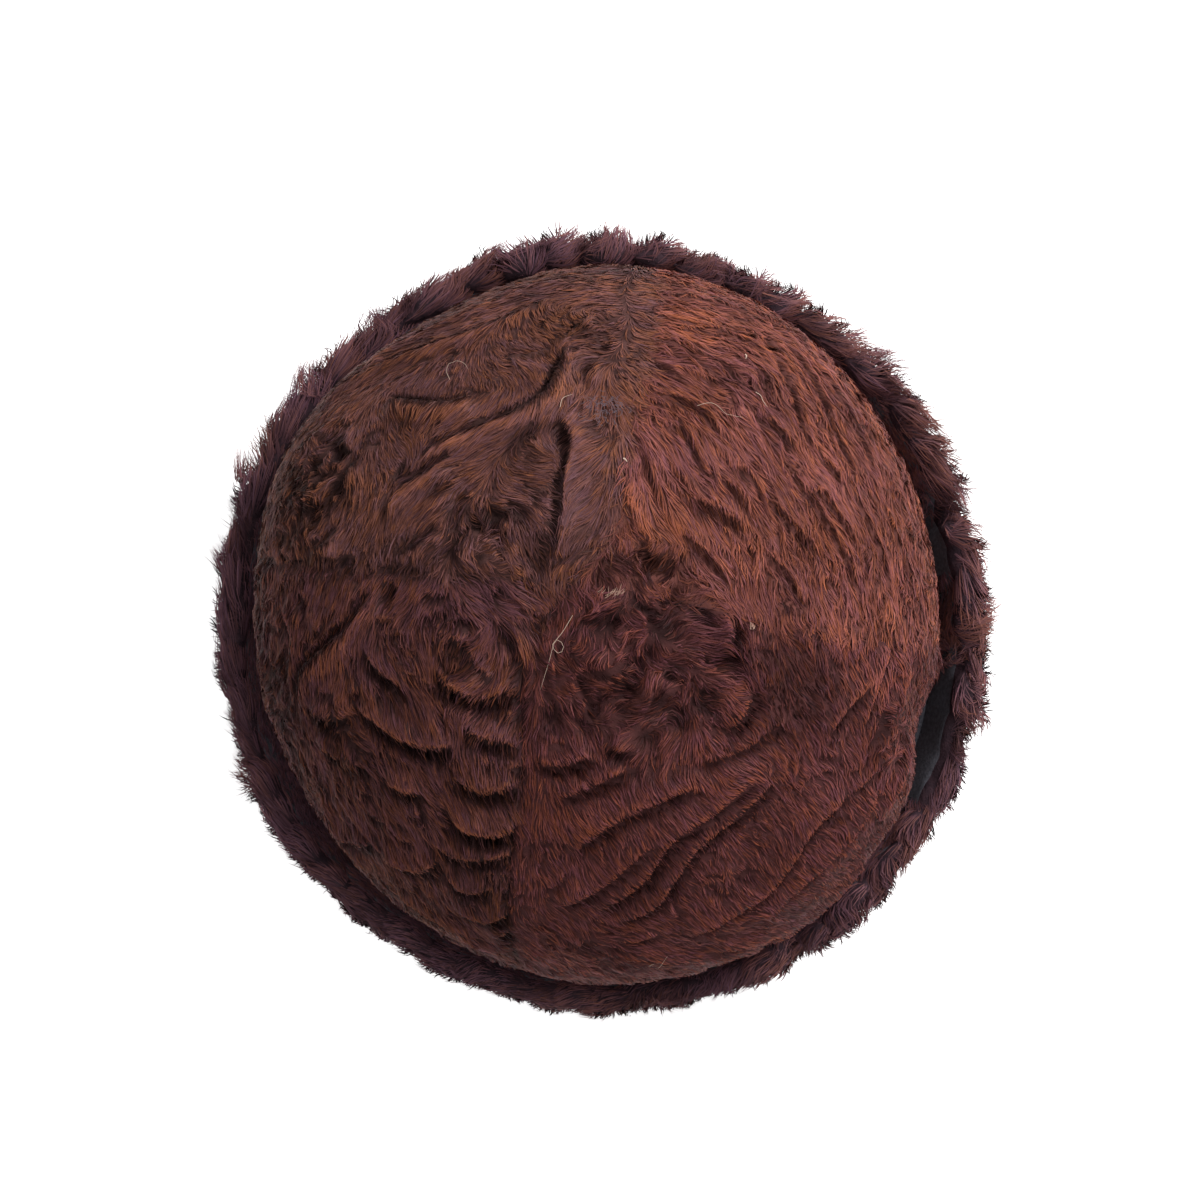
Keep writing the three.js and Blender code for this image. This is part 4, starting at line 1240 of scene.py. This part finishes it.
def cuff_corners(bearing):
    """Corners of the cuff's closed section, radius and height: the fold's inner corner, round
    its heel, up the outside, over the edge and down the inside."""
    head = HEAD_RADIUS * around(HEAD_SHARE, bearing)
    inner = [cuff_face(bearing, level) for level in LEVELS]
    heel = inner[0][0] + CUFF_WALL * LEVELS[0][2]
    flat = np.zeros_like(head)
    eased = FOLD_ROUND * FOLD_EASE
    corners = [(head, flat), (heel - FOLD_ROUND, flat)]
    corners += [(heel - eased, flat + eased), (heel, flat + FOLD_ROUND)]
    corners += [(r + CUFF_WALL * level[2], z) for (r, z), level in zip(inner[1:], LEVELS[1:])]
    crest = cuff_rise(bearing) + TUFT_RISE * 0.5 * around(TUFT_SHARE, bearing)
    corners += [(inner[-1][0] + CUFF_WALL / 2, crest)]
    corners += inner[::-1] + [(head, flat + FOLD_FLOOR)]
    return np.stack([np.stack(corner, -1) for corner in corners], -2)


def cuff_smooth(bearing, around_section):
    """A point of the smooth cuff at a bearing and a place round its section, counted in corners:
    a curve through the corners, kept above the table."""
    corners = cuff_corners(bearing)
    row = np.floor(around_section).astype(int)
    near = (
        np.take_along_axis(corners, np.mod(row + k, CORNERS)[..., None, None], -2)[..., 0, :]
        for k in (-1, 0, 1, 2)
    )
    at = through(*near, (around_section - row)[..., None])
    return cylindrical(at[..., 0], np.maximum(at[..., 1], 0.0), bearing)


def curl_cap(point):
    """The middle of the curl that each place is in, and the curl's cap there: 1 - d^2/r^2."""
    middle = locks(point, CURL_SIZE, CURL_SEED)
    share = np.linalg.norm(point - middle, axis=-1) / CURL_REACH
    return middle, np.clip(1.0 - share ** 2, 0.0, 1.0)


def cuff_frame(bearing, around_section):
    """A point of the curly cuff, its outward direction and its directions round the hat and up
    the section. The curls show from the heel to the crest."""
    def curly(bearing, section):
        point = cuff_smooth(bearing, section)
        _, cap = curl_cap(point)
        shown = smooth((section - CURLS_FROM) / CURLS_EASE)
        shown = shown * smooth((CURLS_TO - section) / CURLS_EASE)
        rise = CURL_RISE * (0.35 + 0.9 * around(TUFT_SHARE, bearing)) * shown
        plain = cuff_smooth(bearing, section + 0.05) - cuff_smooth(bearing, section - 0.05)
        turn = np.radians(bearing)
        ring = np.stack([-np.sin(turn), np.cos(turn), 0 * turn], -1)
        out = unit(np.cross(ring, plain))
        return point + out * (rise * (cap - 0.3))[..., None]

    step = 0.4
    point = curly(bearing, around_section)
    ring = unit(curly(bearing + step, around_section) - curly(bearing - step, around_section))
    up = curly(bearing, around_section + 0.06) - curly(bearing, around_section - 0.06)
    return point, unit(np.cross(ring, up)), ring, unit(up)


def ring_faces(sections, size):
    """Four-cornered faces of a closed ring of closed sections."""
    index = np.arange(sections * size).reshape(sections, size)
    return grid_faces(np.pad(index, (0, 1), mode="wrap"))


CUFF_SECTIONS = 400
fine_steps = np.concatenate([[0.0, 0.5], np.arange(1.0, 8.5, 0.25), np.arange(8.5, 13.0, 0.75)])
cuff_bearings = (np.arange(CUFF_SECTIONS) * 360.0 / CUFF_SECTIONS)[:, None]
cuff_points, _, _, _ = cuff_frame(*np.broadcast_arrays(cuff_bearings, fine_steps))
cuff_base = mottled_material("hair_base_cuff", (0.018, 0.010, 0.014), (0.040, 0.021, 0.027))
cloth = mottled_material(
    "charcoal_cloth", (0.058, 0.057, 0.068), (0.098, 0.096, 0.114), scale=900.0, bump_depth=0.0003
)
cuff_faces = ring_faces(CUFF_SECTIONS, len(fine_steps))
lined = np.tile((fine_steps >= LINED[0]) & (fine_steps < LINED[1]), CUFF_SECTIONS)
cuff_faces = [(cuff_faces[~lined], 0), (cuff_faces[lined], 1)]
cuff = mesh_object("cuff_pelt", cuff_points.reshape(-1, 3), cuff_faces, (cuff_base, cloth))
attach(cuff, "root")
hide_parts("turned_up_cuff")


# The hair of the cuff
# Longer than the crown's, in locks that turn about their own middles, rise out of the wall and
# fan outward over its edge.
CUFF_STRANDS = 62000
CUFF_HAIR_LENGTH = 7.0
CUFF_HAIR_WIDTH = 0.4

# Places round the section, counted in corners: where the hair starts and ends, from where and
# over how much it turns into the edge's hair, where that leans neither out nor in, where the
# inside begins that can lie open, and from where it is inner hair, shorter and without reach
HAIR_FROM = 1.4
HAIR_TO = 8.9
EDGE_FROM = 5.4
EDGE_EASE = 1.4
UPRIGHT = 8.0
OPEN_FROM = 7.4
INNER_FROM = 7.7
INNER_SHORTER = 0.75

# Further reach of the hair over the edge in mm, every 30 degrees
REACH = np.array([2.6, 9.0, 3.8, 1.8, 5.4, 8.0, 7.4, 3.0, -1.4, -0.6, 0.2, 1.0])

# How sleek the hair of the edge lies, every 30 degrees: 0 fans outward, 1 lies along the edge
SLEEK = np.array([0.45, 0.4, 0.25, 0.2, 0.4, 0.7, 0.9, 1.0, 1.0, 0.7, 0.5, 0.45])

# Where the inside of the cuff lies open to view, with no hair over it: bearing, half width
OPEN = [(342.0, 11.0), (14.0, 5.0)]

# A strand's rise off the wall at its root, bend and tip, in mm
CUFF_LIFT = np.array([-0.15, 0.9, 0.8])
UPWARD = np.array([0.0, 0.0, 1.0])


def cuff_roots(rng, wanted):
    """Bearings and places round the section, evenly spread over the surface and denser towards
    the edge: tries are kept with a chance that follows the surface that each stands for."""
    bearing = rng.uniform(0.0, 360.0, wanted * 4)
    section = rng.uniform(HAIR_FROM, HAIR_TO, wanted * 4)
    apart = cuff_smooth(bearing, section + 0.05) - cuff_smooth(bearing, section - 0.05)
    surface = np.linalg.norm(apart, axis=-1) * (1.0 + 0.8 * smooth(section - 5.5))
    kept = rng.uniform(0.0, 1.0, len(bearing)) < surface / surface.max()
    for at, half in OPEN:
        kept &= (np.abs(turned_by(bearing, at)) > half) | (section < OPEN_FROM)
    return bearing[kept][:wanted], section[kept][:wanted]


def curliness(bearing):
    """How far the hair follows its curl at a bearing."""
    return 0.3 + 0.8 * around(TUFT_SHARE, bearing)


def cuff_run(rng, seed, bearing, section, place):
    """Directions that the cuff's strands set out in: up the wall, turned about their curl's
    middle, and over the edge fanned outward or, on its inner half, inward."""
    _, out, ring, up = cuff_frame(bearing, section)
    away = place - curl_cap(place)[0]
    turned = unit(np.cross(out, away))
    top = smooth((section - EDGE_FROM) / EDGE_EASE)[:, None]
    lean = np.clip((UPRIGHT - section) / 0.8, -0.8, 1.0)[:, None]
    outward = cylindrical(1.0, 0 * bearing, bearing)
    sleek = top * around(SLEEK, bearing)[:, None]
    swept = (0.5 * ripple(place, 26.0, seed + 1) - 0.4)[:, None] - 1.1 * sleek
    fanned = 0.8 * lean * outward * (1.0 - 0.45 * sleek) + 0.4 * UPWARD * (1.0 - 0.6 * sleek)
    run = (1.0 - top) * up + top * fanned + ring * swept
    run = run + curliness(bearing)[:, None] * (0.65 * turned + 0.15 * unit(away))
    return unit(run + rng.normal(0.0, 0.07, run.shape))


def cuff_hair(name, materials, seed):
    """Strands from the heel to just inside the edge, curved in a wave across their run, inward
    and down, and kept above the table. A curl's hair is painted lighter at its middle and darker
    between curls, as light and shade on the locks, and the hair round the left is painted a little
    lighter, as light on that side."""
    rng = np.random.default_rng(seed)
    bearing, section = cuff_roots(rng, CUFF_STRANDS)
    count = len(bearing)
    point, out, ring, _ = cuff_frame(bearing, section)
    place = cuff_smooth(bearing, section)
    _, cap = curl_cap(place)
    curl = curliness(bearing)
    top = smooth((section - EDGE_FROM) / EDGE_EASE)
    run = cuff_run(rng, seed, bearing, section, place)
    length = CUFF_HAIR_LENGTH * rng.uniform(0.6, 1.2, count) * (0.75 + 0.25 * curl)
    over_edge = np.where(section > INNER_FROM, 0.0, 1.0)
    length = length + top * around(REACH, bearing) * over_edge
    length = length * np.where(section > INNER_FROM, INNER_SHORTER, 1.0)
    way = np.arange(BENDS + 1) / BENDS
    rise = CUFF_LIFT * rng.uniform(0.6, 1.2, (count, 1)) * (1.0 - 0.3 * top[:, None])
    wave = ring * ((0.14 + 0.16 * top) * length * ripple(place, 8.0, seed + 2))[:, None]
    spine = point[:, None] + run[:, None] * (length[:, None] * way)[..., None]
    spine = spine + out[:, None] * rise[..., None]
    spine = spine + wave[:, None] * np.sin(np.pi * way)[None, :, None]
    drop = (length[:, None] * way ** 2)[..., None]
    spine = spine - 0.12 * out[:, None] * drop - 0.16 * top[:, None, None] * UPWARD * drop
    spine[..., 2] = np.maximum(spine[..., 2], 0.3)
    shaded = unit(out + 0.7 * top[:, None] * UPWARD + rng.normal(0.0, 0.10, (count, 3)))
    # Painted light and shade: lighter at a curl's middle, darker between curls, and lighter round
    # the left side
    shade = 0.33 + 0.38 * cap * curl + 0.08 * ripple(place, 12.0, seed + 3)
    shade = shade + 0.07 * smooth(1.0 - np.abs(turned_by(bearing, 190.0)) / 90.0)
    shade = shade + rng.normal(0.0, 0.05, count)
    warmth = 0.4 + 0.15 * ripple(place, 26.0, seed + 4) + rng.normal(0.0, 0.2, count)
    warmth = warmth + 0.12 * smooth(1.0 - np.abs(turned_by(bearing, 20.0)) / 70.0)
    warmth = warmth - 0.14 * smooth(1.0 - np.abs(turned_by(bearing, 210.0)) / 90.0)
    width = CUFF_HAIR_WIDTH * rng.uniform(0.7, 1.3, count) * (1.0 - 0.25 * top)
    roll = rng.normal(0.0, 0.3, count)
    return ribbons(name, spine, shaded, width, roll, shade, warmth, materials)


cuff_hair_material = hair_material(
    "lambskin_hair_cuff", (0.050, 0.023, 0.030), (0.100, 0.049, 0.070), (0.162, 0.062, 0.042)
)
hair = cuff_hair("cuff_hair", (cuff_hair_material,), 700)
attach(hair, "root")


# The cuff's facing
# A strip of ribbed charcoal cloth along the inside of the cuff, seen in the gap at the right. It
# is sewn to the cuff's inner face at its lower and upper edges, and stops short of the cuff's edge.
FACING_SECTIONS = 1080
RIB_RISE = 0.18
RIBS = 270


def facing_points():
    """The facing's closed section at many bearings: three places up its outer side and three
    down its inner side, where cosine ribs stand out."""
    bearing = np.arange(FACING_SECTIONS) * 360.0 / FACING_SECTIONS
    face = np.stack([np.stack(cuff_face(bearing, level), -1) for level in LEVELS[:3]], 1)
    face[:, 0, 1] += SEAT_GAP
    outer = face - np.array([SEAT_GAP, 0.0])
    rib = RIB_RISE * np.cos(np.radians(bearing * RIBS))
    inner = outer - np.stack([FACING_WALL + rib, 0 * rib], -1)[:, None]
    section = np.concatenate([outer, inner[:, ::-1]], axis=1)
    return cylindrical(section[..., 0], section[..., 1], bearing[:, None])


facing_faces = [(ring_faces(FACING_SECTIONS, 6), 0)]
facing = mesh_object("facing_strip", facing_points().reshape(-1, 3), facing_faces, (cloth,))
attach(facing, "root")
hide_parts("cuff_facing")


# Stray fibres
# A few pale wool hairs, tufts with pale tips and a pinch of grey lint that cling to the crown.
# Each is a thin ribbon on the crown's fur, standing a little clear of it.
# Quarter, width in mm, course in the photograph's pixels
STRAYS = [
    ("front_left", 0.13, [
        (573, 616), (562, 634), (553, 646), (560, 654), (564, 646), (556, 641), (549, 664),
        (541, 690),
    ]),
    ("back_left", 0.17, [(561, 411), (564, 403), (573, 398)]),
    ("back_right", 0.18, [(752, 398), (758, 403), (763, 413)]),
    ("back_right", 0.11, [(696, 409), (712, 409), (726, 418), (742, 421)]),
    ("back_left", 0.11, [(452, 384), (449, 374), (456, 367), (466, 368), (471, 375)]),
    ("back_right", 0.45, [(623, 461), (625, 462), (627, 464)]),
    ("back_right", 0.40, [(742, 360), (743, 361), (743, 364)]),
    ("front_right", 0.13, [(648, 960), (656, 956), (666, 948)]),
]

# Small tufts: quarter, pixel, spread in mm, number, direction in degrees, length in mm
PALE_TUFTS = [
    ("back_right", 606, 597, 1.1, 20, 20, 2.2),
    ("front_right", 749, 631, 0.6, 9, 55, 2.0),
]
FIBRE_BENDS = 24
STRAY_LIFT = 2.3
TUFT_LIFT = 1.2

# A pinch of lint: its pixel, number of fibres and their width, its spread and lift in mm
LINT_PIXEL = (607, 411)
LINT_FIBRES = 70
FINE_WIDTH = 0.15
LINT_SPREAD = 2.3
LINT_LIFT = 1.5


def fibre_spine(quarter, flat, lift):
    """Evenly spaced places along a course on the flat skin, raised over the fur."""
    line = smooth_line(flat, 8)
    way = np.concatenate([[0.0], np.cumsum(np.linalg.norm(np.diff(line, axis=0), axis=1))])
    even = np.linspace(0.0, way[-1], FIBRE_BENDS + 1)
    line = np.stack([np.interp(even, way, line[:, k]) for k in range(2)], -1)
    point, normal, _, _ = crown_frame(line)
    height = np.maximum(read(coats[quarter], line)[:, HEIGHT], 0.0) + lift
    return point + normal * height[:, None], normal[0]


def fibres(name, courses_on_skin, widths, lift, material):
    """One mesh of fibres, each with its own quarter and course."""
    spines, normals = zip(*(fibre_spine(quarter, flat, lift) for quarter, flat in courses_on_skin))
    plain = np.full(len(spines), 0.5)
    spines, normals, widths = np.array(spines), np.array(normals), np.array(widths)
    return ribbons(name, spines, normals, widths, 0 * plain, plain, plain, (material,))


def plain_material(name, colour):
    """One colour with a soft sheen."""
    material, _, shader = new_material(name, roughness=0.6, specular=0.1)
    shader.inputs["Base Color"].default_value = (*colour, 1.0)
    return material


pale = plain_material("pale_wool", (0.38, 0.28, 0.22))
stray_courses = [(quarter, from_photo(course)) for quarter, _, course in STRAYS]
strays = fibres("stray_wool", stray_courses, [width for _, width, _ in STRAYS], STRAY_LIFT, pale)
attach(strays, "root")

fibre_rng = np.random.default_rng(901)
pale_hairs = []
for quarter, x, y, spread, number, direction, length in PALE_TUFTS:
    for _ in range(number):
        start = from_photo((x, y)) + fibre_rng.normal(0.0, spread, 2) * np.array([1.0, 0.5])
        turn = np.radians(direction) + fibre_rng.normal(0.0, 0.35) + np.array([0.0, 0.25, 0.5])
        steps = heading(turn) * length * fibre_rng.uniform(0.2, 0.4)
        pale_hairs.append((quarter, start + np.cumsum(steps, axis=0)))
pale_tip = plain_material("pale_tips", (0.26, 0.16, 0.12))
tufts = fibres("pale_tufts", pale_hairs, [FINE_WIDTH] * len(pale_hairs), TUFT_LIFT, pale_tip)
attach(tufts, "root")

lint_middle = from_photo(LINT_PIXEL)
lint = []
for _ in range(LINT_FIBRES):
    start = lint_middle + fibre_rng.normal(0.0, LINT_SPREAD, 2)
    turn = fibre_rng.uniform(0.0, 2 * np.pi) + np.arange(4.0) * fibre_rng.uniform(-1.3, 1.3)
    steps = heading(turn) * fibre_rng.uniform(0.4, 1.0)
    owner = "back_right" if start[0] > lint_middle[0] else "back_left"
    lint.append((owner, start + np.cumsum(steps, axis=0)))
grey = plain_material("grey_lint", (0.085, 0.060, 0.072))
lint_mesh = fibres("lint", lint, [FINE_WIDTH] * LINT_FIBRES, LINT_LIFT, grey)
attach(lint_mesh, "root")


# The room
# A white table lit from below as well, and soft white light from all round, with a broad light
# from the back right.
FLOOR_HALF = 3.0
WHITE = (1.0, 1.0, 1.0, 1.0)
floor_mesh = bpy.data.meshes.new("floor")
ways = (-1, -1), (1, -1), (1, 1), (-1, 1)
floor_mesh.from_pydata([(FLOOR_HALF * x, FLOOR_HALF * y, 0) for x, y in ways], [], [(0, 1, 2, 3)])
floor = placed("floor", floor_mesh)
floor_material, _, floor_shader = new_material("floor_white", roughness=0.9, specular=0.1)
floor_shader.inputs["Base Color"].default_value = (0.9, 0.9, 0.9, 1.0)
floor_shader.inputs["Emission Color"].default_value = WHITE
floor_shader.inputs["Emission Strength"].default_value = 0.6
floor_mesh.materials.append(floor_material)

world = bpy.data.worlds.new("white_room")
world.use_nodes = True
background = world.node_tree.nodes["Background"].inputs
background["Color"].default_value = WHITE
background["Strength"].default_value = 0.85
bpy.context.scene.world = world
bpy.context.scene.view_settings.view_transform = "Standard"


# A broad square light: its place and side in metres and its power in watts. It looks at the hat.
LIGHT_PLACE = np.array([1.2, 1.1, 1.3])
light_data = bpy.data.lights.new("broad_light_back_right", "AREA")
light_data.size = 0.9
light_data.energy = 60.0
light = placed("broad_light_back_right", light_data)
away = LIGHT_PLACE - AIM * MM
tilt = np.arccos(away[2] / np.linalg.norm(away))
light.location = LIGHT_PLACE
light.rotation_euler = (tilt, 0.0, np.arctan2(away[0], -away[1]))


# The camera
# It stands where the photographer's did: almost straight above, with the hat's middle in the
# photograph's place for it. The lens takes in the photograph's width at the aim's distance.
FIELD = PHOTO_SIDE * MM_PER_PIXEL / CAMERA_DISTANCE
SENSOR = 36.0
camera_data = bpy.data.cameras.new("camera")
camera_data.sensor_width = SENSOR
camera_data.lens = SENSOR / FIELD
camera_data.shift_x = (PHOTO_SIDE / 2 - PHOTO_MIDDLE[0]) / PHOTO_SIDE
camera_data.shift_y = (PHOTO_MIDDLE[1] - PHOTO_SIDE / 2) / PHOTO_SIDE
camera = placed("camera", camera_data)
camera.location = (AIM - LOOK * CAMERA_DISTANCE) * MM
camera.rotation_euler = (np.pi / 2 - CAMERA_ELEVATION, 0.0, 0.0)
bpy.context.scene.camera = camera
